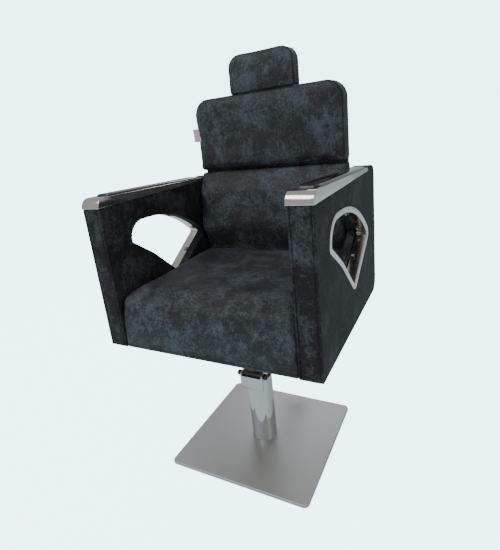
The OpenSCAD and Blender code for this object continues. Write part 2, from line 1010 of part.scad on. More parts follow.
// Saddles that hold the rods' cross piece to the headrest's board
module rod_clamps() {
    color("dimgray")
        for (x = [-22, 22])
            difference() {
                translate([x - 8, rod_y - rod_r - 3, rod_cross_z - 16])
                    cube([16, 2 * rod_r + 5, 32]);
                translate([x - 9, rod_y, rod_cross_z])
                    rotate([0, 90, 0])
                        cylinder(r = rod_r, h = 18);
            }
}

module headrest_cushion() {
    color([0.2, 0.22, 0.25])
        difference() {
            translate([0, headrest_rear, 0])
                rotate([90, 0, 0])
                    linear_extrude(height = headrest_rear - headrest_front)
                        polygon(rounded([
                            [-headrest_w / 2, headrest_bottom, 12],
                            [headrest_w / 2, headrest_bottom, 12],
                            [headrest_w / 2, headrest_top, 36],
                            [-headrest_w / 2, headrest_top, 36]
                        ]));
            // pocket for the board, the clamps and the rods
            translate([-headrest_w / 2 + 14, rod_y - rod_r - 3, headrest_bottom + 8])
                cube([
                    headrest_w - 28,
                    headrest_board_face + headrest_board_t - rod_y + rod_r + 3,
                    headrest_h - 16
                ]);
            for (x = [-rod_x, rod_x])
                translate([x, rod_y, headrest_bottom - 1])
                    cylinder(r = rod_r + 0.5, h = 12);
        }
}

base_mat();
base_plate();
base_cover();
base_screws();
pump_body();
pump_cover();
pump_head();
guide_bush();
wiper_seal();
lever_pin();
lever_pin_caps();
pump_lever();
pedal_grip();
pump_plunger();
plunger_spring();
piston();
piston_seals();
thrust_washer();
ram();
seat_bracket();
bracket_bolts();
seat_board();
seat_cushion();
arm_frame(-1);  // arm_frame_left
arm_frame(1);  // arm_frame_right
arm_cover(-1);  // arm_cover_left
arm_cover(1);  // arm_cover_right
arm_cap(-1);  // arm_cap_left
arm_cap(1);  // arm_cap_right
arm_pad(-1);  // arm_pad_left
arm_pad(1);  // arm_pad_right
trim_ring(-1);  // trim_ring_left
trim_ring(1);  // trim_ring_right
ring_clips(-1);  // ring_clips_left
ring_clips(1);  // ring_clips_right
arm_bolts();
hinge_brackets();
hinge_pins();
bracket_screws();
hinge_arms();
hinge_arm_screws();
back_board();
lower_back_cushion();
upper_back_cushion();
rear_cover();
headrest_guides();
guide_collars();
label_tag();
headrest_rods();
headrest_board();
rod_clamps();
headrest_cushion();
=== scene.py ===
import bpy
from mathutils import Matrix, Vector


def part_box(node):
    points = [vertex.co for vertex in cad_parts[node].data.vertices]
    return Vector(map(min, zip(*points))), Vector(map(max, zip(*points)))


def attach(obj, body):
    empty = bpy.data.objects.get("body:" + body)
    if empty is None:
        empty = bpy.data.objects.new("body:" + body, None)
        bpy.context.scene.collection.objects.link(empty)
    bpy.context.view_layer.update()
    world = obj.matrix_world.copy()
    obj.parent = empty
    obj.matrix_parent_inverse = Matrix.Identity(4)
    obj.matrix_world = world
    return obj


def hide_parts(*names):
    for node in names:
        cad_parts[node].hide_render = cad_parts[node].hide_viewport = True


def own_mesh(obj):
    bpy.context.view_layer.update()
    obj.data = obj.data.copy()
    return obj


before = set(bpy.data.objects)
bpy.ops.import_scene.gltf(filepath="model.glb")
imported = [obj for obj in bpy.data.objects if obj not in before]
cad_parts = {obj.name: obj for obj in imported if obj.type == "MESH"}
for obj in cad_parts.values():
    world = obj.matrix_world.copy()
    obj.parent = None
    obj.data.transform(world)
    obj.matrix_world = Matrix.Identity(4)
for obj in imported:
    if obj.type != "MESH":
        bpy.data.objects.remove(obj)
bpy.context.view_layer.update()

import math

import bmesh
import bpy
import numpy as np
from mathutils import Matrix, Vector


# ---- Studio ----
# The chair stands on a wide pale floor in a pale room. A broad light hangs in front and above, a
# weaker warm one stands to the right, and a strip behind picks out the edges.

def lamp(name, place, target, width, height, power, colour):
    data = bpy.data.lights.new(name, "AREA")
    data.shape = "RECTANGLE"
    data.size, data.size_y = width, height
    data.energy = power
    data.color = colour
    made = bpy.data.objects.new(name, data)
    bpy.context.scene.collection.objects.link(made)
    made.location = place
    made.rotation_euler = (Vector(target) - Vector(place)).to_track_quat("-Z", "Y").to_euler()
    made.visible_camera = False
    return made


lamp("front_light", (-1.2, -2.0, 4.0), (0, 0, 0.6), 2.6, 2.0, 68, (0.98, 0.985, 0.98))
lamp("side_light", (3.6, -1.6, 2.2), (0, 0, 0.6), 1.6, 2.4, 10, (1.0, 0.78, 0.60))
lamp("rear_light", (-0.8, 3.2, 2.6), (0, 0, 0.9), 2.6, 0.9, 20, (0.95, 0.98, 1.0))

room = bpy.data.worlds.new("pale_room")
bpy.context.scene.world = room
room.use_nodes = True
room_tree = room.node_tree
sky = room_tree.nodes["Background"]
sky.inputs["Strength"].default_value = 0.42
backdrop = room_tree.nodes.new("ShaderNodeBackground")
backdrop.inputs["Color"].default_value = (0.56, 0.90, 1.0, 1)
backdrop.inputs["Strength"].default_value = 6.0
seen = room_tree.nodes.new("ShaderNodeLightPath")
seen_mix = room_tree.nodes.new("ShaderNodeMixShader")
room_tree.links.new(seen.outputs["Is Camera Ray"], seen_mix.inputs["Fac"])
room_tree.links.new(sky.outputs["Background"], seen_mix.inputs[1])
room_tree.links.new(backdrop.outputs["Background"], seen_mix.inputs[2])
room_tree.links.new(seen_mix.outputs["Shader"], room_tree.nodes["World Output"].inputs["Surface"])
way_up = room_tree.nodes.new("ShaderNodeTexCoord")
height_in_room = room_tree.nodes.new("ShaderNodeSeparateXYZ")
room_colours = room_tree.nodes.new("ShaderNodeValToRGB")
room_tree.links.new(way_up.outputs["Generated"], height_in_room.inputs["Vector"])
room_tree.links.new(height_in_room.outputs["Z"], room_colours.inputs["Fac"])
room_tree.links.new(room_colours.outputs["Color"], sky.inputs["Color"])
room_colours.color_ramp.elements[0].position = 0.0
room_colours.color_ramp.elements[0].color = (0.93, 0.95, 0.96, 1)
room_colours.color_ramp.elements[1].position = 0.75
room_colours.color_ramp.elements[1].color = (0.84, 0.88, 0.90, 1)

view_camera = bpy.data.objects.new("camera", bpy.data.cameras.new("camera"))
bpy.context.scene.collection.objects.link(view_camera)
bpy.context.scene.camera = view_camera
turned, tipped, rolled = (math.radians(angle) for angle in (30.11, -17.01, -6.66))
forward = Vector((-math.sin(turned) * math.cos(tipped),
                  math.cos(turned) * math.cos(tipped), math.sin(tipped)))
level = Vector((math.cos(turned), math.sin(turned), 0))
raised = level.cross(forward)
to_right = level * math.cos(rolled) + raised * math.sin(rolled)
to_top = raised * math.cos(rolled) - level * math.sin(rolled)
facing = Matrix((to_right, to_top, -forward)).transposed().to_4x4()
view_camera.matrix_world = Matrix.Translation((0.5563, -1.0218, 0.9789)) @ facing
view_camera.data.lens = 27.11
view_camera.data.shift_x = 0.0255
view_camera.data.shift_y = -0.0272
view_camera.data.clip_start = 0.05

bpy.ops.object.select_all(action="DESELECT")
bpy.ops.mesh.primitive_circle_add(vertices=96, radius=40, fill_type="NGON")
floor = bpy.context.object
floor.name = "floor"


def place(tree, kind, values=None, **settings):
    """Puts a node in a tree; a value that is another node's socket is linked."""
    made = tree.nodes.new(kind)
    for setting, value in settings.items():
        setattr(made, setting, value)
    for socket, value in (values or {}).items():
        if isinstance(value, bpy.types.NodeSocket):
            tree.links.new(value, made.inputs[socket])
        else:
            made.inputs[socket].default_value = value
    return made


def finish_blank(name, plain):
    """A material whose shader has its plain values; what varies is linked after."""
    material = bpy.data.materials.new(name)
    material.use_nodes = True
    tree = material.node_tree
    shader = tree.nodes["Principled BSDF"]
    for socket, value in plain.items():
        shader.inputs[socket].default_value = value
    return material, tree, shader


floor_paint, tree, shader = finish_blank("floor_paint", {
    "Roughness": 0.85, "Specular IOR Level": 0.2, "Emission Color": (0.56, 0.90, 1.0, 1)})
floor_seen = place(tree, "ShaderNodeLightPath")
floor_glow = place(tree, "ShaderNodeMath", {
    0: floor_seen.outputs["Is Camera Ray"], 1: 5.8, 2: 0.12}, operation="MULTIPLY_ADD")
tree.links.new(floor_glow.outputs[0], shader.inputs["Emission Strength"])
floor_cloud = place(tree, "ShaderNodeTexNoise", {
    "Vector": place(tree, "ShaderNodeTexCoord").outputs["Object"], "Scale": 0.6, "Detail": 2.0})
floor_mix = place(tree, "ShaderNodeMix", {
    "Factor": floor_cloud.outputs["Fac"], 6: (0.80, 0.90, 0.93, 1), 7: (0.84, 0.92, 0.95, 1)},
    data_type="RGBA")
tree.links.new(floor_mix.outputs[2], shader.inputs["Base Color"])
floor.data.materials.append(floor_paint)


# ---- Base ----
# A square of brushed stainless sheet, folded down at its edges over an 8 mm steel plate that
# gives the chair its weight. A sheet of rubber under the plate keeps it from marking the floor.

def only(piece):
    bpy.ops.object.select_all(action="DESELECT")
    piece.select_set(True)
    bpy.context.view_layer.objects.active = piece


def blank(name, low, high):
    """A block between two corners, ready to be shaped."""
    low, high = Vector(low), Vector(high)
    bpy.ops.object.select_all(action="DESELECT")
    bpy.ops.mesh.primitive_cube_add(size=1, location=(low + high) / 2, scale=high - low)
    piece = bpy.context.object
    piece.name = piece.data.name = name
    bpy.ops.object.transform_apply(location=True, rotation=True, scale=True)
    return piece


def choose(piece, kind, test):
    """Edit mode, with the edges or faces chosen whose middle and direction pass the test."""
    only(piece)
    bpy.ops.object.mode_set(mode="EDIT")
    bpy.ops.mesh.select_mode(type=kind)
    bpy.ops.mesh.select_all(action="DESELECT")
    shape = bmesh.from_edit_mesh(piece.data)
    if kind == "EDGE":
        for edge in shape.edges:
            a, b = (v.co for v in edge.verts)
            edge.select_set(bool(test((a + b) / 2, (b - a).normalized())))
    else:
        for face in shape.faces:
            face.select_set(bool(test(face.calc_center_median(), face.normal)))
    shape.select_flush_mode()
    bmesh.update_edit_mesh(piece.data)


def round_edges(piece, radius, steps, test):
    choose(piece, "EDGE", test)
    bpy.ops.mesh.bevel(offset=radius, segments=steps, affect="EDGES")
    bpy.ops.object.mode_set(mode="OBJECT")


def remove_faces(piece, test):
    choose(piece, "FACE", test)
    bpy.ops.mesh.delete(type="FACE")
    bpy.ops.object.mode_set(mode="OBJECT")


def worked(piece, kind, **settings):
    """Adds a modifier and applies it."""
    only(piece)
    step = piece.modifiers.new(kind.lower(), kind)
    for setting, value in settings.items():
        setattr(step, setting, value)
    bpy.ops.object.modifier_apply(modifier=step.name)


def cut_away(piece, cutter, how="DIFFERENCE"):
    worked(piece, "BOOLEAN", operation=how, object=cutter, solver="EXACT")
    bpy.data.objects.remove(cutter)


def smooth(piece, degrees=35):
    only(piece)
    bpy.ops.object.shade_smooth_by_angle(angle=math.radians(degrees))


def made_of(piece, material, slot, body, *nodes):
    """Gives a finished piece its material, hangs it on what it moves with, and hides the nodes it takes the
    place of; the slot that would say what it is is not used.
    """
    piece.data.materials.clear()
    piece.data.materials.append(material)
    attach(piece, body)
    if nodes:
        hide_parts(*nodes)


def finish_nodes(material, *nodes):
    for name in nodes:
        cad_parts[name].data.materials.clear()
        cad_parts[name].data.materials.append(material)


def effect(name, inputs, outputs):
    """A shader node group with its sockets."""
    tree = bpy.data.node_groups.new(name, "ShaderNodeTree")
    for label, kind, value in inputs:
        socket = tree.interface.new_socket(label, in_out="INPUT", socket_type="NodeSocket" + kind)
        socket.default_value = value
    for label, kind in outputs:
        tree.interface.new_socket(label, in_out="OUTPUT", socket_type="NodeSocket" + kind)
    return tree, tree.nodes.new("NodeGroupInput").outputs, tree.nodes.new("NodeGroupOutput").inputs


def spread(tree, value, low, high):
    """Turns a value from 0 to 1 into one between two sockets or numbers."""
    between = place(tree, "ShaderNodeMapRange", {"Value": value, "To Min": low, "To Max": high})
    return between.outputs["Result"]


# lines left by a belt or by polishing
brush_lines, given, gives = effect(
    "brush_lines",
    [("Stretch", "Vector", (6, 260, 260)), ("Darker", "Color", (0.5, 0.5, 0.5, 1)),
     ("Lighter", "Color", (0.6, 0.6, 0.6, 1)), ("Smoothest", "Float", 0.2), ("Roughest", "Float", 0.4)],
    [("Color", "Color"), ("Roughness", "Float"), ("Height", "Float")])
along_lines = place(brush_lines, "ShaderNodeVectorMath", {
    0: place(brush_lines, "ShaderNodeTexCoord").outputs["Object"], 1: given["Stretch"]},
    operation="MULTIPLY")
lines = place(brush_lines, "ShaderNodeTexNoise", {
    "Vector": along_lines.outputs["Vector"], "Scale": 1.0, "Detail": 5.0, "Roughness": 0.65})
clouds = place(brush_lines, "ShaderNodeTexNoise", {
    "Vector": place(brush_lines, "ShaderNodeTexCoord").outputs["Object"], "Scale": 7.0, "Detail": 3.0})
both = place(brush_lines, "ShaderNodeMath", {
    0: lines.outputs["Fac"], 1: clouds.outputs["Fac"]}, operation="ADD")
half_of_both = place(brush_lines, "ShaderNodeMath", {0: both.outputs[0], 1: 0.5}, operation="MULTIPLY")
line_colour = place(brush_lines, "ShaderNodeMix", {
    "Factor": half_of_both.outputs[0], 6: given["Darker"], 7: given["Lighter"]}, data_type="RGBA")
brush_lines.links.new(line_colour.outputs[2], gives["Color"])
brush_lines.links.new(
    spread(brush_lines, half_of_both.outputs[0], given["Smoothest"], given["Roughest"]), gives["Roughness"])
brush_lines.links.new(lines.outputs["Fac"], gives["Height"])


def brushed(name, stretch, darker, lighter, smoothest, roughest, depth, plain):
    material, tree, shader = finish_blank(name, {"Metallic": 1.0, **plain})
    marks = place(tree, "ShaderNodeGroup", {
        "Stretch": stretch, "Darker": (*darker, 1), "Lighter": (*lighter, 1),
        "Smoothest": smoothest, "Roughest": roughest}, node_tree=brush_lines)
    bump = place(tree, "ShaderNodeBump", {
        "Height": marks.outputs["Height"], "Strength": 0.25, "Distance": depth})
    tree.links.new(marks.outputs["Color"], shader.inputs["Base Color"])
    tree.links.new(marks.outputs["Roughness"], shader.inputs["Roughness"])
    tree.links.new(bump.outputs["Normal"], shader.inputs["Normal"])
    return material


satin_steel = brushed("satin_steel", (2.0, 420, 420), (0.55, 0.57, 0.58), (0.64, 0.66, 0.67),
                      0.46, 0.60, 0.00004, {"Anisotropic": 0.25})

base_low, base_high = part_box("base_cover")
base_corner = 0.016
base_fold = 0.0025
base_sheet = 0.0012
pump_hole = 0.0383
base_skin = blank("base_skin", base_low, base_high)
round_edges(base_skin, base_corner, 8, lambda at, way: abs(way.z) > 0.9)
round_edges(base_skin, base_fold, 4,
            lambda at, way: at.z > base_high.z - 0.0001 and abs(way.z) < 0.1)
remove_faces(base_skin, lambda at, normal: normal.z < -0.9)
worked(base_skin, "SOLIDIFY", thickness=base_sheet, offset=-1, use_even_offset=True)
bpy.ops.mesh.primitive_cylinder_add(vertices=64, radius=pump_hole, depth=0.05, location=(0, 0, 0.01))
cut_away(base_skin, bpy.context.object)
smooth(base_skin)
made_of(base_skin, satin_steel, "satin_steel", "base", "base_cover")

# an even grain, as on powder paint or moulded rubber and plastic
fine_grain, given, gives = effect(
    "fine_grain",
    [("Size", "Float", 900.0), ("Darker", "Color", (0.02, 0.02, 0.02, 1)),
     ("Lighter", "Color", (0.03, 0.03, 0.03, 1)), ("Smoothest", "Float", 0.4), ("Roughest", "Float", 0.6)],
    [("Color", "Color"), ("Roughness", "Float"), ("Height", "Float")])
grain_place = place(fine_grain, "ShaderNodeTexCoord").outputs["Object"]
grain = place(fine_grain, "ShaderNodeTexNoise", {
    "Vector": grain_place, "Scale": given["Size"], "Detail": 3.0})
dust = place(fine_grain, "ShaderNodeTexNoise", {
    "Vector": grain_place, "Scale": 22.0, "Detail": 4.0, "Roughness": 0.6})
grain_colour = place(fine_grain, "ShaderNodeMix", {
    "Factor": dust.outputs["Fac"], 6: given["Darker"], 7: given["Lighter"]}, data_type="RGBA")
fine_grain.links.new(grain_colour.outputs[2], gives["Color"])
fine_grain.links.new(
    spread(fine_grain, dust.outputs["Fac"], given["Smoothest"], given["Roughest"]), gives["Roughness"])
fine_grain.links.new(grain.outputs["Fac"], gives["Height"])


def grained(name, size, darker, lighter, smoothest, roughest, depth, plain):
    material, tree, shader = finish_blank(name, plain)
    skin = place(tree, "ShaderNodeGroup", {
        "Size": size, "Darker": (*darker, 1), "Lighter": (*lighter, 1),
        "Smoothest": smoothest, "Roughest": roughest}, node_tree=fine_grain)
    bump = place(tree, "ShaderNodeBump", {
        "Height": skin.outputs["Height"], "Strength": 0.4, "Distance": depth})
    tree.links.new(skin.outputs["Color"], shader.inputs["Base Color"])
    tree.links.new(skin.outputs["Roughness"], shader.inputs["Roughness"])
    tree.links.new(bump.outputs["Normal"], shader.inputs["Normal"])
    return material


plate_primer = grained("plate_primer", 700, (0.03, 0.033, 0.036), (0.05, 0.053, 0.056), 0.5, 0.7, 0.0001, {})
black_rubber = grained("black_rubber", 1500, (0.012, 0.012, 0.013), (0.03, 0.03, 0.031),
                       0.6, 0.85, 0.0001, {"Specular IOR Level": 0.4})
finish_nodes(plate_primer, "base_plate")
finish_nodes(black_rubber, "base_mat", "piston_seals", "wiper_seal")
zinc_steel = brushed("zinc_steel", (300, 300, 40), (0.52, 0.53, 0.55), (0.68, 0.69, 0.70),
                     0.22, 0.42, 0.00003, {})
finish_nodes(zinc_steel, "base_screws")


# ---- Pump ----
# A cast iron body stands inside a chrome tube, which is slipped over it and rests on the base.
# A black head closes the top, with a bronze bush and a rubber wiper that the ram slides through.

chrome = brushed("chrome", (30, 30, 8), (0.62, 0.63, 0.64), (0.72, 0.73, 0.74), 0.035, 0.12, 0.00001, {})
black_paint = grained("black_paint", 500, (0.008, 0.008, 0.009), (0.022, 0.022, 0.024),
                      0.28, 0.45, 0.0002, {"Coat Weight": 0.3, "Coat Roughness": 0.15})
cast_iron = grained("cast_iron", 350, (0.06, 0.062, 0.066), (0.11, 0.112, 0.118), 0.4, 0.6, 0.0003,
                    {"Metallic": 0.8})
bronze = brushed("bronze", (200, 200, 30), (0.42, 0.28, 0.12), (0.56, 0.38, 0.18), 0.25, 0.4, 0.00002, {})
ground_steel = brushed("ground_steel", (400, 400, 30), (0.45, 0.46, 0.48), (0.60, 0.61, 0.63),
                       0.18, 0.34, 0.00002, {})
finish_nodes(cast_iron, "pump_body")
finish_nodes(bronze, "guide_bush", "thrust_washer")
finish_nodes(ground_steel, "pump_plunger", "piston")
finish_nodes(chrome, "ram")

tube_low, tube_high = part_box("pump_cover")
tube_radius = tube_high.x
tube_wall = 0.0015
bpy.ops.object.select_all(action="DESELECT")
bpy.ops.mesh.primitive_cylinder_add(
    vertices=128, radius=tube_radius, depth=tube_high.z - tube_low.z, end_fill_type="NOTHING",
    location=(0, 0, (tube_high.z + tube_low.z) / 2))
pump_tube = bpy.context.object
pump_tube.name = "pump_tube"
bpy.ops.object.transform_apply(location=True, rotation=True, scale=True)
# the foot of the tube is rolled out a little where it stands on the base
choose(pump_tube, "EDGE", lambda at, way: at.z < tube_low.z + 0.0001 and abs(way.z) < 0.1)
bpy.ops.mesh.extrude_edges_move(TRANSFORM_OT_translate={"value": (0, 0, 0)})
bpy.ops.transform.resize(value=(1.035, 1.035, 1))
bpy.ops.object.mode_set(mode="OBJECT")
choose(pump_tube, "EDGE", lambda at, way: at.z < tube_low.z + 0.0001
       and abs(way.z) < 0.1 and at.xy.length < tube_radius + 0.0005)
bpy.ops.transform.translate(value=(0, 0, 0.004))
bpy.ops.object.mode_set(mode="OBJECT")
worked(pump_tube, "SOLIDIFY", thickness=tube_wall, offset=-1, use_even_offset=True)
worked(pump_tube, "BEVEL", width=0.0006, segments=3, limit_method="ANGLE", angle_limit=math.radians(40))
smooth(pump_tube)
made_of(pump_tube, chrome, "chrome", "base", "pump_cover")


def merged_copy(node, name):
    """A copy of a node's mesh with its doubles merged."""
    bpy.ops.object.select_all(action="DESELECT")
    piece = bpy.data.objects.new(name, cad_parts[node].data.copy())
    bpy.context.scene.collection.objects.link(piece)
    piece.data.name = name
    only(piece)
    bpy.ops.object.mode_set(mode="EDIT")
    bpy.ops.mesh.select_all(action="SELECT")
    bpy.ops.mesh.remove_doubles(threshold=0.00001)
    bpy.ops.object.mode_set(mode="OBJECT")
    return piece


def softened(node, name, width, steps=3):
    """A copy of a machined node with its edges broken."""
    piece = merged_copy(node, name)
    bpy.ops.object.mode_set(mode="EDIT")
    bpy.ops.mesh.select_all(action="SELECT")
    bpy.ops.mesh.dissolve_limited(angle_limit=math.radians(1))
    bpy.ops.object.mode_set(mode="OBJECT")
    worked(piece, "BEVEL", width=width, segments=steps, limit_method="ANGLE",
           angle_limit=math.radians(40), use_clamp_overlap=True)
    smooth(piece, 40)
    return piece


made_of(softened("pump_head", "pump_crown", 0.0012), black_paint, "black_paint", "base", "pump_head")

# the return spring stands on the floor of its hole and is pressed together by the plunger
return_spring = merged_copy("plunger_spring", "return_spring")
smooth(return_spring, 50)
made_of(return_spring, ground_steel, "spring_steel", "base", "plunger_spring")
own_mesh(return_spring)


# ---- Foot lever ----
# A chromed steel yoke hangs on a pin through the pump's head. Its bridge crosses the front of the
# pump, its arm runs out to a rubber-covered pedal, and caps of black plastic close the pin.

moulded_black = grained("moulded_black", 1100, (0.006, 0.006, 0.007), (0.014, 0.014, 0.015),
                        0.18, 0.34, 0.00005, {"Coat Weight": 0.2})
made_of(softened("pump_lever", "lever_yoke", 0.0012), chrome, "chrome", "foot_lever", "pump_lever")
made_of(softened("lever_pin_caps", "pin_buttons", 0.0012), moulded_black, "black_plastic", "base",
        "lever_pin_caps")
finish_nodes(zinc_steel, "lever_pin")

grip_low, grip_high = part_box("pedal_grip")
pedal_sleeve = softened("pedal_grip", "pedal_sleeve", 0.002)
# raised ribs across the sleeve, for the sole
for row in range(5):
    rib_y = grip_low.y + 0.009 + row * 0.009
    rib = blank("rib", (grip_low.x + 0.004, rib_y, grip_high.z - 0.001),
                (grip_high.x - 0.004, rib_y + 0.004, grip_high.z + 0.0012))
    round_edges(rib, 0.0009, 2, lambda at, way: at.z > grip_high.z + 0.001)
    cut_away(pedal_sleeve, rib, "UNION")
smooth(pedal_sleeve)
made_of(pedal_sleeve, black_rubber, "rubber", "foot_lever", "pedal_grip")


# ---- Seat bracket and board ----
# The ram's tapered end is held in a black cast bracket, which four hexagon bolts join to a
# plywood board under the seat.

finish_nodes(zinc_steel, "bracket_bolts", "arm_bolts", "hinge_pins", "bracket_screws",
             "hinge_arm_screws", "headrest_guides", "rod_clamps")
finish_nodes(black_paint, "hinge_brackets", "hinge_arms")
made_of(softened("seat_bracket", "seat_casting", 0.002), black_paint, "black_paint", "seat", "seat_bracket")

plywood, tree, shader = finish_blank("plywood", {"Specular IOR Level": 0.3})
ply_place = place(tree, "ShaderNodeTexCoord").outputs["Object"]
ply_long = place(tree, "ShaderNodeVectorMath", {0: ply_place, 1: (4, 60, 60)}, operation="MULTIPLY")
ply_grain = place(tree, "ShaderNodeTexNoise", {
    "Vector": ply_long.outputs["Vector"], "Scale": 1.0, "Detail": 6.0, "Distortion": 0.6})
ply_layers = place(tree, "ShaderNodeTexWave", {
    "Vector": ply_place, "Scale": 90.0, "Distortion": 1.5, "Detail": 2.0}, bands_direction="Z")
ply_both = place(tree, "ShaderNodeMath", {
    0: ply_grain.outputs["Fac"], 1: ply_layers.outputs["Fac"]}, operation="MULTIPLY")
ply_colour = place(tree, "ShaderNodeMix", {
    "Factor": ply_both.outputs[0], 6: (0.36, 0.22, 0.11, 1), 7: (0.60, 0.43, 0.26, 1)}, data_type="RGBA")
ply_bump = place(tree, "ShaderNodeBump", {
    "Height": ply_grain.outputs["Fac"], "Strength": 0.4, "Distance": 0.0004})
tree.links.new(ply_colour.outputs[2], shader.inputs["Base Color"])
tree.links.new(spread(tree, ply_grain.outputs["Fac"], 0.55, 0.8), shader.inputs["Roughness"])
tree.links.new(ply_bump.outputs["Normal"], shader.inputs["Normal"])
finish_nodes(plywood, "seat_board", "back_board", "headrest_board", "arm_frame_left", "arm_frame_right")


# ---- Seat cushion ----
# Firm foam on the board under one skin of suede-look leatherette, charcoal with cloudy blue-grey
# patches. The skin rolls over the front, down past the board's edge, and is stapled underneath.

# the mottled face of the leatherette: worn clouds, curled specks and a fine pebble grain
leather_face, given, gives = effect(
    "leather_face",
    [("Cloud Size", "Float", 14.0), ("Amount", "Float", 0.5), ("Ground", "Color", (0.02, 0.02, 0.02, 1)),
     ("Brown", "Color", (0.03, 0.02, 0.02, 1)), ("Cloud", "Color", (0.06, 0.07, 0.08, 1)),
     ("Speck", "Color", (0.006, 0.006, 0.01, 1))],
    [("Color", "Color"), ("Roughness", "Float"), ("Height", "Float")])
hide = place(leather_face, "ShaderNodeTexCoord").outputs["Object"]
wide = place(leather_face, "ShaderNodeTexNoise", {
    "Vector": hide, "Scale": given["Cloud Size"], "Detail": 5.0, "Roughness": 0.58, "Distortion": 0.6})
curled = place(leather_face, "ShaderNodeTexNoise", {
    "Vector": hide, "Scale": 90.0, "Detail": 5.0, "Roughness": 0.62, "Distortion": 2.6})
streaks = place(leather_face, "ShaderNodeTexNoise", {
    "Vector": place(leather_face, "ShaderNodeMapping", {
        "Vector": hide, "Rotation": (0.3, 0.5, 0.7), "Scale": (1.0, 2.6, 0.6)}).outputs["Vector"],
    "Scale": 52.0, "Detail": 5.0, "Roughness": 0.6, "Distortion": 1.1})
worn = place(leather_face, "ShaderNodeMath", {
    0: wide.outputs["Fac"], 1: 2.1, 2: -1.05}, operation="MULTIPLY_ADD")
curl = place(leather_face, "ShaderNodeMath", {
    0: curled.outputs["Fac"], 1: 2.3, 2: worn.outputs[0]}, operation="MULTIPLY_ADD")
streaked = place(leather_face, "ShaderNodeMath", {
    0: streaks.outputs["Fac"], 1: 1.4, 2: curl.outputs[0]}, operation="MULTIPLY_ADD")
less = place(leather_face, "ShaderNodeMath", {0: 2.20, 1: given["Amount"]}, operation="SUBTRACT")
cloud_mask = place(leather_face, "ShaderNodeMapRange", {
    "Value": streaked.outputs[0], "From Min": less.outputs[0],
    "From Max": place(leather_face, "ShaderNodeMath", {0: less.outputs[0], 1: 0.55},
                      operation="ADD").outputs[0]})
pits = place(leather_face, "ShaderNodeTexNoise", {
    "Vector": hide, "Scale": 190.0, "Detail": 4.0, "Roughness": 0.65, "Distortion": 1.6})
speck_mask = place(leather_face, "ShaderNodeMapRange", {
    "Value": pits.outputs["Fac"], "From Min": 0.53, "From Max": 0.66})
# the ground turns browner here and there
tea = place(leather_face, "ShaderNodeTexNoise", {"Vector": hide, "Scale": 6.0, "Detail": 2.0})
ground = place(leather_face, "ShaderNodeMix", {
    "Factor": place(leather_face, "ShaderNodeMapRange", {
        "Value": tea.outputs["Fac"], "From Min": 0.40, "From Max": 0.66}).outputs[0],
    6: given["Ground"], 7: given["Brown"]}, data_type="RGBA")
cloudy = place(leather_face, "ShaderNodeMix", {
    "Factor": cloud_mask.outputs[0], 6: ground.outputs[2], 7: given["Cloud"]}, data_type="RGBA")
specked = place(leather_face, "ShaderNodeMix", {
    "Factor": place(leather_face, "ShaderNodeMath", {0: speck_mask.outputs[0], 1: 0.75},
                    operation="MULTIPLY").outputs[0],
    6: cloudy.outputs[2], 7: given["Speck"]}, data_type="RGBA")
# painted shade: the colour is darkened almost to black along each seam's groove, where shade would fall
seam_shade_mark = place(leather_face, "ShaderNodeAttribute", attribute_name="seam")
seam_shaded = place(leather_face, "ShaderNodeMix", {
    "Factor": place(leather_face, "ShaderNodeMath", {0: seam_shade_mark.outputs["Fac"], 1: 0.75},
                    operation="MULTIPLY").outputs[0],
    6: specked.outputs[2], 7: (0.003, 0.003, 0.004, 1)}, data_type="RGBA")
pebbles = place(leather_face, "ShaderNodeTexVoronoi", {"Vector": hide, "Scale": 720.0}, feature="F1")
creases = place(leather_face, "ShaderNodeTexNoise", {
    "Vector": hide, "Scale": 55.0, "Detail": 7.0, "Roughness": 0.66, "Distortion": 0.8})
face_height = place(leather_face, "ShaderNodeMath", {
    0: pebbles.outputs["Distance"], 1: 0.25, 2: creases.outputs["Fac"]}, operation="MULTIPLY_ADD")
leather_face.links.new(seam_shaded.outputs[2], gives["Color"])
leather_face.links.new(spread(leather_face, cloud_mask.outputs[0], 0.56, 0.74), gives["Roughness"])
leather_face.links.new(face_height.outputs[0], gives["Height"])


def leatherette(name, cloud_size, amount, ground, brown, cloud, speck, gloss=0.28, sheen=0.05):
    material, tree, shader = finish_blank(name, {
        "Specular IOR Level": gloss, "Sheen Weight": sheen, "Sheen Roughness": 0.4,
        "Sheen Tint": (0.85, 0.9, 1.0, 1)})
    skin = place(tree, "ShaderNodeGroup", {
        "Cloud Size": cloud_size, "Amount": amount, "Ground": (*ground, 1), "Brown": (*brown, 1),
        "Cloud": (*cloud, 1), "Speck": (*speck, 1)}, node_tree=leather_face)
    bump = place(tree, "ShaderNodeBump", {
        "Height": skin.outputs["Height"], "Strength": 0.55, "Distance": 0.0012})
    tree.links.new(skin.outputs["Color"], shader.inputs["Base Color"])
    tree.links.new(skin.outputs["Roughness"], shader.inputs["Roughness"])
    tree.links.new(bump.outputs["Normal"], shader.inputs["Normal"])
    return material


ground_colour = (0.029, 0.033, 0.033)
brown_colour = (0.037, 0.035, 0.034)
cloud_colour = (0.100, 0.120, 0.145)
speck_colour = (0.008, 0.010, 0.017)
seat_leather = leatherette("seat_leather", 13.0, 0.50, ground_colour, brown_colour, cloud_colour,
                           speck_colour)


def points_of(piece):
    flat = np.zeros(len(piece.data.vertices) * 3)
    piece.data.vertices.foreach_get("co", flat)
    return flat.reshape(-1, 3)


def set_points(piece, points):
    piece.data.vertices.foreach_set("co", points.ravel())
    piece.data.update()


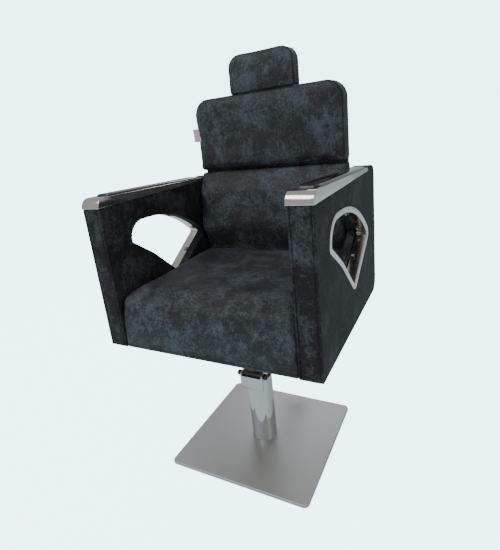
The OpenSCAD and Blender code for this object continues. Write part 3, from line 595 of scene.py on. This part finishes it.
def swell(piece, cell, most, held, pressure=4.0, frames=20):
    """Closes the cover into one skin and lets air pressure fill it, at most by (x, y, z) most."""
    worked(piece, "REMESH", mode="VOXEL", voxel_size=cell)
    worked(piece, "SMOOTH", factor=0.5, iterations=1)
    start = points_of(piece)
    stapled = piece.vertex_groups.new(name="stapled")
    stapled.add([int(i) for i in np.flatnonzero(held(start))], 1.0, "REPLACE")
    cover = piece.modifiers.new("cover", "CLOTH")
    cover.settings.quality = 5
    cover.settings.use_pressure = True
    cover.settings.uniform_pressure_force = pressure
    cover.settings.vertex_group_mass = "stapled"
    cover.settings.effector_weights.gravity = 0
    cover.point_cache.frame_start = 1
    cover.point_cache.frame_end = frames
    for count in range(1, frames + 1):
        bpy.context.scene.frame_set(count)
    filled = piece.evaluated_get(bpy.context.evaluated_depsgraph_get())
    end = np.zeros(len(filled.data.vertices) * 3)
    filled.data.vertices.foreach_get("co", end)
    piece.modifiers.remove(cover)
    bpy.context.scene.frame_set(1)
    limit = np.array(most)
    set_points(piece, start + limit * np.tanh((end.reshape(-1, 3) - start) / limit))
    piece.vertex_groups.clear()
    worked(piece, "SUBSURF", levels=1, render_levels=1)
    only(piece)
    bpy.ops.object.shade_smooth()


def sew(piece, lines, width=0.0024, depth=0.0017):
    """Presses seams into a cover along lines of points laid onto it, and marks them for the painted shade
    that darkens each seam's groove.
    """
    at = points_of(piece)
    normals = np.zeros(len(at) * 3)
    piece.data.vertex_normals.foreach_get("vector", normals)
    nearest = np.full(len(at), 1.0)
    for line in lines:
        laid = np.array([piece.closest_point_on_mesh(Vector(point))[1] for point in line])
        for a, b in zip(laid[:-1], laid[1:]):
            near = np.flatnonzero(np.linalg.norm(at - (a + b) / 2, axis=1)
                                  < np.linalg.norm(b - a) + 5 * width)
            share = np.clip((at[near] - a) @ (b - a) / max((b - a) @ (b - a), 1e-12), 0, 1)
            gap = np.linalg.norm(at[near] - a - share[:, None] * (b - a), axis=1)
            nearest[near] = np.minimum(nearest[near], gap)
    press = np.exp(-(nearest / width) ** 2) - 0.4 * np.exp(-((nearest - 2.4 * width) / width) ** 2)
    set_points(piece, at - normals.reshape(-1, 3) * (depth * press)[:, None])
    # a mark for the painted shade along each seam's groove
    seam_shade = piece.data.attributes.new("seam", "FLOAT", "POINT")
    seam_shade.data.foreach_set("value", np.exp(-(nearest / (0.9 * width)) ** 2))


seat_low, seat_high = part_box("seat_cushion")
board_low, board_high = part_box("seat_board")
seat_side = 0.0008
# drawn a little lower than its solid, to make up for what rounding takes off the edge
seat_drop = 0.0035
seat_seam_height = 0.4545
seat_pad = blank("seat_pad", (seat_low.x + seat_side, seat_low.y + 0.0010, seat_low.z - seat_drop),
                 (seat_high.x - seat_side, seat_high.y, seat_high.z))
round_edges(seat_pad, 0.036, 8, lambda at, way: abs(way.x) > 0.9 and at.y < 0 and at.z > 0.5)
round_edges(seat_pad, 0.024, 6, lambda at, way: abs(way.x) < 0.5 and at.z > 0.53
            and abs(at.x) > seat_high.x - 0.004)
cut_away(seat_pad, blank("board_room", (-0.3, board_low.y, 0.4), (0.3, 0.3, board_high.z)))
swell(seat_pad, 0.005, (0.0008, 0.004, 0.008),
      lambda at: (at[:, 2] < board_high.z + 0.002) | (at[:, 1] > seat_high.y - 0.003)
      | (np.abs(at[:, 0]) > seat_high.x - 0.004) & (at[:, 2] < 0.54))
sew(seat_pad, [[(x, seat_low.y, seat_seam_height) for x in np.linspace(-0.25, 0.25, 60)]], 0.0018, 0.0010)
made_of(seat_pad, seat_leather, "seat_upholstery", "seat", "seat_cushion")


# ---- Arm panels ----
# Each arm is a plywood panel with foam glued to both faces, covered in the same leatherette. A
# band runs round the edge, sewn to both faces, and the cut-out's edge is turned in and stapled.

def outline(corners, inset=0.0, steps=10):
    """Points round an anticlockwise outline of corners (a, b, radius), moved in by inset. A hollow
    corner has a radius below zero."""
    found = []
    for i, (a, b, radius) in enumerate(corners):
        here = Vector((a, b))
        back = (Vector(corners[i - 1][:2]) - here).normalized()
        on = (Vector(corners[(i + 1) % len(corners)][:2]) - here).normalized()
        half = math.acos(back.dot(on)) / 2
        here = here + Vector((back.y - on.y, on.x - back.x)).normalized() * inset / math.sin(half)
        radius = max(radius - inset, 0.0001) if radius >= 0 else inset - radius
        centre = here + (back + on).normalized() * radius / math.sin(half)
        first = here + back * radius / math.tan(half) - centre
        last = here + on * radius / math.tan(half) - centre
        start = math.atan2(first.y, first.x)
        turn = (math.atan2(last.y, last.x) - start + math.pi) % (2 * math.pi) - math.pi
        for step in range(steps + 1):
            angle = start + turn * step / steps
            found.append((centre.x + radius * math.cos(angle), centre.y + radius * math.sin(angle)))
    return found


def slab(name, points, near, far, lay):
    """An outline filled and drawn out from near to far; lay says where a point goes."""
    bpy.ops.object.select_all(action="DESELECT")
    bpy.ops.mesh.primitive_circle_add(vertices=len(points), fill_type="NGON")
    piece = bpy.context.object
    piece.name = piece.data.name = name
    for vertex, (a, b) in zip(piece.data.vertices, points):
        vertex.co = lay(a, b, near)
    draw = Vector(lay(0, 0, far)) - Vector(lay(0, 0, near))
    bpy.ops.object.mode_set(mode="EDIT")
    bpy.ops.mesh.select_all(action="SELECT")
    bpy.ops.mesh.extrude_region_move(TRANSFORM_OT_translate={"value": draw})
    bpy.ops.mesh.select_all(action="SELECT")
    bpy.ops.mesh.normals_make_consistent(inside=False)
    bpy.ops.object.mode_set(mode="OBJECT")
    piece.matrix_world = Matrix.Identity(4)
    return piece


def spaced(points, step=0.008):
    """A closed outline's points at an even spacing, with the first one again at the end."""
    ends = list(points) + [points[0]]
    found = []
    for a, b in zip(ends[:-1], ends[1:]):
        parts = max(1, int(math.dist(a, b) / step))
        found += [(a[0] + (b[0] - a[0]) * i / parts, a[1] + (b[1] - a[1]) * i / parts) for i in range(parts)]
    return found + [points[0]]


def side_lay(a, b, depth):
    return (depth, a, b)


def mirrored(piece, name):
    """The left-hand copy of a right-hand piece, with its own mesh."""
    copy = bpy.data.objects.new(name, piece.data.copy())
    copy.data.name = name
    bpy.context.scene.collection.objects.link(copy)
    copy.data.transform(Matrix.Scale(-1, 4, (1, 0, 0)))
    copy.data.flip_normals()
    return copy


panel_low, panel_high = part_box("arm_cover_right")
# drawn a little lower and longer than its solid, to make up for what rounding takes off the edges
panel_bottom = panel_low.z - 0.0045
panel_rear = panel_high.y + 0.005
cap_low, cap_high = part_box("arm_cap_right")
panel_corners = [
    (panel_low.y, panel_bottom, 0.006), (panel_rear, panel_bottom, 0.038),
    (panel_rear, panel_high.z, 0.030), (cap_high.y + 0.001, panel_high.z, 0.0),
    (cap_high.y + 0.001, cap_low.z, 0.0), (panel_low.y, cap_low.z, 0.0)]
ring_corners = [
    (-0.199, 0.787, 0.065), (-0.199, 0.713, 0.014), (-0.110, 0.652, -0.250), (0.008, 0.544, 0.026),
    (0.201, 0.660, 0.022), (0.046, 0.787, 0.430)]
opening_inset = 0.006
panel_inner = panel_low.x + 0.0012
panel_outer = panel_high.x - 0.0003
lip_inset = 0.0145

arm_leather = leatherette("arm_leather", 12.0, 0.42, (0.027, 0.029, 0.028), (0.035, 0.033, 0.030),
                          (0.085, 0.098, 0.112), speck_colour, 0.06, 0.0)
arm_panel = slab("arm_panel_right", outline(panel_corners), panel_inner, panel_outer, side_lay)
# the padding laps over the cut-out's edge on the inside, and leaves room for the clips outside
cut_away(arm_panel, slab("opening", outline(ring_corners, lip_inset),
                         panel_inner - 0.01, panel_outer + 0.01, side_lay))
cut_away(arm_panel, slab("clip_room", outline(ring_corners, opening_inset),
                         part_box("trim_ring_right")[0].x - 0.003, panel_outer + 0.01, side_lay))
# the padding is thin and drawn tight, so the panel is only rounded at its edges and not swollen
worked(arm_panel, "REMESH", mode="VOXEL", voxel_size=0.0026)
worked(arm_panel, "SMOOTH", factor=0.5, iterations=2)
bpy.ops.object.shade_smooth()
band = spaced(outline(panel_corners))
sew(arm_panel, [[side_lay(a, b, x) for a, b in band]
                for x in (panel_inner + 0.0065, panel_outer - 0.0065)], 0.0013, 0.0008)
arm_panel_left = mirrored(arm_panel, "arm_panel_left")
made_of(arm_panel, arm_leather, "arm_upholstery", "seat", "arm_cover_right")
made_of(arm_panel_left, arm_leather, "arm_upholstery", "seat", "arm_cover_left")


# ---- Arm caps and pads ----
# A channel of polished stainless sheet, rounded at its nose, is pushed down over the top of each
# arm. On it lies a pad of black lacquered board with a bevel along both edges.

cap_steel = brushed("cap_steel", (3, 30, 900), (0.76, 0.72, 0.67), (0.86, 0.82, 0.77),
                    0.07, 0.20, 0.00001, {})
cap_rear_top = 0.844
cap_nose = 0.026
arm_cap = blank("cap_right", cap_low, cap_high)
choose(arm_cap, "EDGE", lambda at, way: at.y > cap_high.y - 0.001 and at.z > cap_high.z - 0.001)
bpy.ops.transform.translate(value=(0, 0, cap_rear_top - cap_high.z))
bpy.ops.object.mode_set(mode="OBJECT")
round_edges(arm_cap, cap_nose, 14,
            lambda at, way: at.y < cap_low.y + 0.001 and at.z > cap_high.z - 0.001)
remove_faces(arm_cap, lambda at, normal: normal.z < -0.9 or normal.y > 0.9)
side_edges = lambda at, way: (abs(at.x - cap_low.x) < 0.0001 or abs(at.x - cap_high.x) < 0.0001) \
    and not (at.z < cap_low.z + 0.0001) and not (abs(way.z) > 0.9 and at.y > cap_high.y - 0.001)
round_edges(arm_cap, 0.0018, 4, side_edges)
worked(arm_cap, "SOLIDIFY", thickness=0.0015, offset=-1, use_even_offset=True)
worked(arm_cap, "BEVEL", width=0.0004, segments=2, limit_method="ANGLE", angle_limit=math.radians(50))
smooth(arm_cap)
arm_cap_left = mirrored(arm_cap, "cap_left")
made_of(arm_cap, cap_steel, "cap_steel", "seat", "arm_cap_right")
made_of(arm_cap_left, cap_steel, "cap_steel", "seat", "arm_cap_left")

black_lacquer, tree, shader = finish_blank("black_lacquer", {
    "Coat Weight": 1.0, "Coat Roughness": 0.03, "Specular IOR Level": 0.5})
lacquer = place(tree, "ShaderNodeGroup", {
    "Size": 60.0, "Darker": (0.006, 0.006, 0.007, 1), "Lighter": (0.014, 0.014, 0.015, 1),
    "Smoothest": 0.12, "Roughest": 0.26}, node_tree=fine_grain)
tree.links.new(lacquer.outputs["Color"], shader.inputs["Base Color"])
tree.links.new(lacquer.outputs["Roughness"], shader.inputs["Roughness"])
tree.links.new(place(tree, "ShaderNodeBump", {
    "Height": lacquer.outputs["Height"], "Strength": 0.12, "Distance": 0.0002}).outputs["Normal"],
    shader.inputs["Normal"])

pad_low, pad_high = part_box("arm_pad_right")
cap_fall = (cap_high.z - cap_rear_top) / (cap_high.y - cap_low.y)
pad_thick = 0.005


def cap_top(y):
    return cap_high.z - cap_fall * (y - cap_low.y)


arm_pad = blank("pad_right", (pad_low.x, pad_low.y, 0), (pad_high.x, pad_high.y, 1))
for vertex in arm_pad.data.vertices:
    vertex.co.z = cap_top(vertex.co.y) + (pad_thick if vertex.co.z > 0.5 else 0)
round_edges(arm_pad, 0.012, 6, lambda at, way: abs(way.z) > 0.9)
choose(arm_pad, "EDGE", lambda at, way: at.z > cap_top(at.y) + pad_thick - 0.0005)
bpy.ops.mesh.bevel(offset=0.0034, segments=1, affect="EDGES")
bpy.ops.object.mode_set(mode="OBJECT")
worked(arm_pad, "BEVEL", width=0.0005, segments=2, limit_method="ANGLE", angle_limit=math.radians(25))
smooth(arm_pad, 20)
arm_pad_left = mirrored(arm_pad, "pad_left")
made_of(arm_pad, black_lacquer, "gloss_black", "seat", "arm_pad_right")
made_of(arm_pad_left, black_lacquer, "gloss_black", "seat", "arm_pad_left")


# ---- Trim rings ----
# A polished frame lines each cut-out: a flat face on the outside of the arm, rolled over at its
# inner edge into a flange that reaches into the panel. Spring clips bent over the flange hold it.

def swept(name, loops, closed=True):
    """A skin over a row of loops that all have the same number of points."""
    count = len(loops[0])
    points = [point for loop in loops for point in loop]
    rows = len(loops) if closed else len(loops) - 1
    faces = []
    for i in range(rows):
        here, there = i * count, (i + 1) % len(loops) * count
        faces += [(here + j, here + (j + 1) % count, there + (j + 1) % count, there + j)
                  for j in range(count)]
    mesh = bpy.data.meshes.new(name)
    mesh.from_pydata(points, [], faces)
    piece = bpy.data.objects.new(name, mesh)
    bpy.context.scene.collection.objects.link(piece)
    only(piece)
    bpy.ops.object.mode_set(mode="EDIT")
    bpy.ops.mesh.select_all(action="SELECT")
    bpy.ops.mesh.normals_make_consistent(inside=False)
    bpy.ops.object.mode_set(mode="OBJECT")
    smooth(piece, 40)
    return piece


ring_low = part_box("trim_ring_right")[0]
ring_wide = 0.015
ring_sheet = 0.0015
roll = 0.0032
arm_face = panel_high.x
section = [(0.0, 0.0), (0.0, 0.0010), (0.0004, 0.0017), (0.0012, 0.0020)]
section += [(ring_wide - roll + roll * math.sin(a), 0.0020 - roll + roll * math.cos(a))
            for a in (math.radians(angle) for angle in range(0, 91, 15))]
section += [(ring_wide, ring_low.x - arm_face + 0.0005), (ring_wide - 0.0006, ring_low.x - arm_face),
            (ring_wide - ring_sheet, ring_low.x - arm_face + 0.0003), (ring_wide - ring_sheet, -0.0030),
            (ring_wide - 2 * roll, 0.0)]
trim_ring = swept("ring_right", [
    [(arm_face + x, a, b) for a, b in outline(ring_corners, inset, 16)] for inset, x in section])
trim_ring_left = mirrored(trim_ring, "ring_left")
made_of(trim_ring, cap_steel, "cap_steel", "seat", "trim_ring_right")
made_of(trim_ring_left, cap_steel, "cap_steel", "seat", "trim_ring_left")

clip_steel = brushed("clip_steel", (200, 200, 60), (0.10, 0.10, 0.105), (0.17, 0.17, 0.175),
                     0.25, 0.45, 0.00002, {})
clip_parts, screw_parts = [], []
# three clips sit along straight edges, given by corner and share of the way to the next one
clip_seats = []
for edge, share in ((1, 0.75), (3, 0.5), (4, 0.235)):
    a, b = Vector(ring_corners[edge][:2]), Vector(ring_corners[edge + 1][:2])
    clip_seats.append((a + (b - a) * share, (b - a).normalized()))
# the fourth sits at the middle of the long arc at the top
arc_points = [Vector(point) for point in outline(ring_corners)[-11:]]
clip_seats.append((arc_points[5], (arc_points[-1] - arc_points[0]).normalized()))
for at, along in clip_seats:
    inward = Vector((-along.y, along.x))
    turn = Matrix(((1, 0, 0, 0), (0, along.x, inward.x, at.x), (0, along.y, inward.y, at.y), (0, 0, 0, 1)))
    end = ring_low.x - 0.0012
    # a strip of spring steel folded round the flange's edge, drawn in place beside the edge
    clip = blank("clip", (end, -0.009, opening_inset + 0.0012),
                 (arm_face - 0.006, 0.009, opening_inset + 0.0024))
    tongue = blank("tongue", (end, -0.007, ring_wide + 0.0001), (end + 0.014, 0.007, ring_wide + 0.0013))
    fold = blank("fold", (end - 0.0012, -0.009, opening_inset + 0.0012), (end, 0.009, ring_wide + 0.0013))
    cut_away(clip, fold, "UNION")
    cut_away(clip, tongue, "UNION")
    worked(clip, "BEVEL", width=0.0004, segments=2, limit_method="ANGLE", angle_limit=math.radians(50))
    clip.data.transform(turn)
    clip_parts.append(clip)
    bpy.ops.object.select_all(action="DESELECT")
    bpy.ops.mesh.primitive_cylinder_add(vertices=24, radius=0.0036, depth=0.0030,
                                        location=(end + 0.008, 0, ring_wide + 0.0026))
    screw = bpy.context.object
    bpy.ops.object.transform_apply(location=True, rotation=True, scale=True)
    round_edges(screw, 0.0014, 4, lambda at, way: at.z > ring_wide + 0.0040)
    slot_cut = blank("slot_cut", (end + 0.0075, -0.006, ring_wide + 0.0031),
                     (end + 0.0085, 0.006, ring_wide + 0.006))
    cut_away(screw, slot_cut)
    screw.data.transform(turn)
    screw_parts.append(screw)


def joined(parts, name):
    bpy.ops.object.select_all(action="DESELECT")
    for part in parts:
        part.select_set(True)
    bpy.context.view_layer.objects.active = parts[0]
    bpy.ops.object.join()
    parts[0].name = parts[0].data.name = name
    smooth(parts[0], 40)
    return parts[0]


ring_clips = joined(clip_parts, "clips_right")
clip_screws = joined(screw_parts, "clip_screws_right")
ring_clips_left = mirrored(ring_clips, "clips_left")
clip_screws_left = mirrored(clip_screws, "clip_screws_left")
made_of(ring_clips, clip_steel, "clip_steel", "seat", "ring_clips_right")
made_of(ring_clips_left, clip_steel, "clip_steel", "seat", "ring_clips_left")
made_of(clip_screws, zinc_steel, "zinc_fasteners", "seat")
made_of(clip_screws_left, zinc_steel, "zinc_fasteners", "seat")


# ---- Back cushions ----
# Two foam cushions are glued to the back's plywood board and covered one above the other, each
# with a front sewn to a side band that wraps the board's edge. A dark line parts the two.

back_leather = leatherette("back_leather", 11.0, 0.50, ground_colour, brown_colour, cloud_colour,
                           speck_colour)
lower_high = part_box("lower_back_cushion")[1]
upper_low, upper_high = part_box("upper_back_cushion")
back_board_low, back_board_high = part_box("back_board")
cover_low, cover_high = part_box("rear_cover")
back_half = upper_high.x
side_inset = -0.0010


def board_room(low_z, high_z):
    """Room at the rear of a cushion for the board that it wraps."""
    return blank("board_room", (back_board_low.x, back_board_low.y, low_z),
                 (back_board_high.x, cover_low.y + 0.01, high_z))


lower_profile = [
    (0.181, 0.541, 0.008), (cover_low.y, 0.541, 0.0), (cover_low.y, lower_high.z, 0.005),
    (0.200, lower_high.z, 0.014), (0.168, 0.800, 0.060), (0.152, 0.690, 0.060),
    (0.181, 0.612, 0.020)]
lower_pad = slab("lower_back_pad", outline(lower_profile), -back_half + side_inset,
                 back_half - side_inset, side_lay)
worked(lower_pad, "BEVEL", width=0.012, segments=4, limit_method="ANGLE", angle_limit=math.radians(60))
cut_away(lower_pad, board_room(0.5, 0.9))
swell(lower_pad, 0.0055, (0.0010, 0.010, 0.0010),
      lambda at: (at[:, 1] > back_board_low.y - 0.004) | (at[:, 2] < 0.560))
made_of(lower_pad, back_leather, "back_upholstery", "back", "lower_back_cushion")


def front_lay(a, b, depth):
    return (a, depth, b)


upper_corners = [
    (-back_half + side_inset, upper_low.z, 0.010), (back_half - side_inset, upper_low.z, 0.010),
    (back_half - side_inset, upper_high.z - 0.0005, 0.050),
    (-back_half + side_inset, upper_high.z - 0.0005, 0.050)]
upper_front = upper_low.y + 0.001
upper_pad = slab("upper_back_pad", outline(upper_corners), upper_front, cover_low.y, front_lay)
worked(upper_pad, "BEVEL", width=0.006, segments=3, limit_method="ANGLE", angle_limit=math.radians(60))
cut_away(upper_pad, board_room(0.8, upper_high.z - 0.012))
rod_apart = 0.045
rod_back = 0.232
for rod_side in (-1, 1):
    bpy.ops.mesh.primitive_cylinder_add(vertices=32, radius=0.0135, depth=0.03,
                                        location=(rod_side * rod_apart, rod_back, upper_high.z + 0.007))
    cut_away(upper_pad, bpy.context.object)
swell(upper_pad, 0.005, (0.0010, 0.009, 0.0010),
      lambda at: (at[:, 1] > back_board_low.y - 0.002)
      | (np.hypot(np.abs(at[:, 0]) - rod_apart, at[:, 1] - rod_back) < 0.018)
      & (at[:, 2] > upper_high.z - 0.012))
upper_seam = [front_lay(a, b, upper_front + 0.0035) for a, b in spaced(outline(upper_corners))]
sew(upper_pad, [upper_seam])
made_of(upper_pad, back_leather, "back_upholstery", "back", "upper_back_cushion")

# a strip of the same leatherette, stapled to the board, closes the groove between the cushions
groove_strip = blank("groove_strip", (-back_half + 0.0015, back_board_low.y - 0.016, lower_high.z - 0.006),
                     (back_half - 0.0015, back_board_low.y - 0.0006, upper_low.z + 0.006))
round_edges(groove_strip, 0.0025, 3, lambda at, way: at.y < back_board_low.y - 0.015)
smooth(groove_strip)
made_of(groove_strip, back_leather, "back_upholstery", "back")


# ---- Rear cover ----
# A thin board covered in plain black leatherette closes the back from behind, with a piped edge.

rear_leather = leatherette("rear_leather", 14.0, 0.10, (0.013, 0.013, 0.0135), (0.015, 0.014, 0.0135),
                           (0.020, 0.021, 0.022), (0.008, 0.008, 0.009))
rear_corners = [
    (cover_low.x, cover_low.z, 0.020), (cover_high.x, cover_low.z, 0.020),
    (cover_high.x, cover_high.z, 0.044), (cover_low.x, cover_high.z, 0.044)]
rear_panel = slab("rear_panel", outline(rear_corners, 0.004), cover_low.y, cover_high.y, front_lay)
choose(rear_panel, "FACE", lambda at, normal: normal.y > 0.9)
for depth_step, rise in ((0.003, 0.0), (0.004, 0.0008), (0.007, 0.0005)):
    bpy.ops.mesh.inset(thickness=depth_step, depth=rise)
bpy.ops.object.mode_set(mode="OBJECT")
worked(rear_panel, "BEVEL", width=0.0012, segments=3, limit_method="ANGLE", angle_limit=math.radians(50))
smooth(rear_panel, 30)
made_of(rear_panel, rear_leather, "rear_upholstery", "back", "rear_cover")

pipe_radius = 0.0028
pipe_ring = spaced(outline(rear_corners, pipe_radius))[:-1]
pipe_loops = []
for i, (a, b) in enumerate(pipe_ring):
    before, after = Vector(pipe_ring[i - 1]), Vector(pipe_ring[(i + 1) % len(pipe_ring)])
    out = Vector((after.y - before.y, before.x - after.x)).normalized()
    pipe_loops.append([
        (a + out.x * pipe_radius * math.cos(angle), cover_high.y - 0.0026 + pipe_radius * math.sin(angle),
         b + out.y * pipe_radius * math.cos(angle))
        for angle in (math.tau * step / 10 for step in range(10))])
rear_piping = swept("rear_piping", pipe_loops)
made_of(rear_piping, rear_leather, "rear_upholstery", "back")


# ---- Label tag ----
# A short white ribbon is caught in the seam on the left of the upper cushion. It is a single strip,
# and it carries no text.

tag_low, tag_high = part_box("label_tag")
ribbon, tree, shader = finish_blank("ribbon", {"Sheen Weight": 0.3, "Specular IOR Level": 0.3})
ribbon_place = place(tree, "ShaderNodeTexCoord").outputs["Object"]
ribs = place(tree, "ShaderNodeTexWave", {
    "Vector": ribbon_place, "Scale": 420.0, "Distortion": 0.2}, bands_direction="Z")
ribbon_cloud = place(tree, "ShaderNodeTexNoise", {"Vector": ribbon_place, "Scale": 90.0, "Detail": 3.0})
ribbon_colour = place(tree, "ShaderNodeMix", {
    "Factor": ribbon_cloud.outputs["Fac"], 6: (0.62, 0.42, 0.44, 1), 7: (0.85, 0.74, 0.75, 1)},
    data_type="RGBA")
tree.links.new(ribbon_colour.outputs[2], shader.inputs["Base Color"])
tree.links.new(spread(tree, ribs.outputs["Fac"], 0.6, 0.8), shader.inputs["Roughness"])
tree.links.new(place(tree, "ShaderNodeBump", {
    "Height": ribs.outputs["Fac"], "Strength": 0.5, "Distance": 0.0002}).outputs["Normal"],
    shader.inputs["Normal"])
tag_caught = 0.014
side_tag = blank("side_tag", tag_low, (tag_high.x + tag_caught, tag_high.y, tag_high.z))
only(side_tag)
bpy.ops.object.mode_set(mode="EDIT")
bpy.ops.mesh.select_all(action="SELECT")
bpy.ops.mesh.subdivide(number_cuts=7)
bpy.ops.object.mode_set(mode="OBJECT")
for vertex in side_tag.data.vertices:
    reach = (tag_high.x - vertex.co.x) / (tag_high.x - tag_low.x)
    vertex.co.y += 0.0016 * reach * math.sin(reach * 2.4 + vertex.co.z * 70)
smooth(side_tag, 60)
made_of(side_tag, ribbon, "tag_fabric", "back", "label_tag")


# ---- Headrest ----
# A small padded block on two chromed rods, which slide in steel guides behind the upper cushion.
# Black collars finish the guides where the rods come out of the cushion's top.

head_low, head_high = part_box("headrest_cushion")
head_bottom = head_low.z - 0.0045
head_corners = [
    (head_low.x, head_bottom, 0.006), (head_high.x, head_bottom, 0.006),
    (head_high.x, head_high.z - 0.0005, 0.038), (head_low.x, head_high.z - 0.0005, 0.038)]
head_front = head_low.y + 0.002
head_pad = slab("headrest_pad", outline(head_corners), head_front, head_high.y - 0.001, front_lay)
worked(head_pad, "BEVEL", width=0.006, segments=3, limit_method="ANGLE", angle_limit=math.radians(60))
swell(head_pad, 0.004, (0.0012, 0.006, 0.0006),
      lambda at: (at[:, 1] > head_high.y - 0.006) | (at[:, 2] < head_bottom + 0.004))
head_outline = spaced(outline(head_corners), 0.006)
sew(head_pad, [[front_lay(a, b, head_front + 0.0035) for a, b in head_outline],
               [front_lay(a, b, head_high.y - 0.005) for a, b in head_outline]], 0.0020, 0.0014)
made_of(head_pad, back_leather, "back_upholstery", "headrest", "headrest_cushion")
finish_nodes(chrome, "headrest_rods")
finish_nodes(moulded_black, "guide_collars")
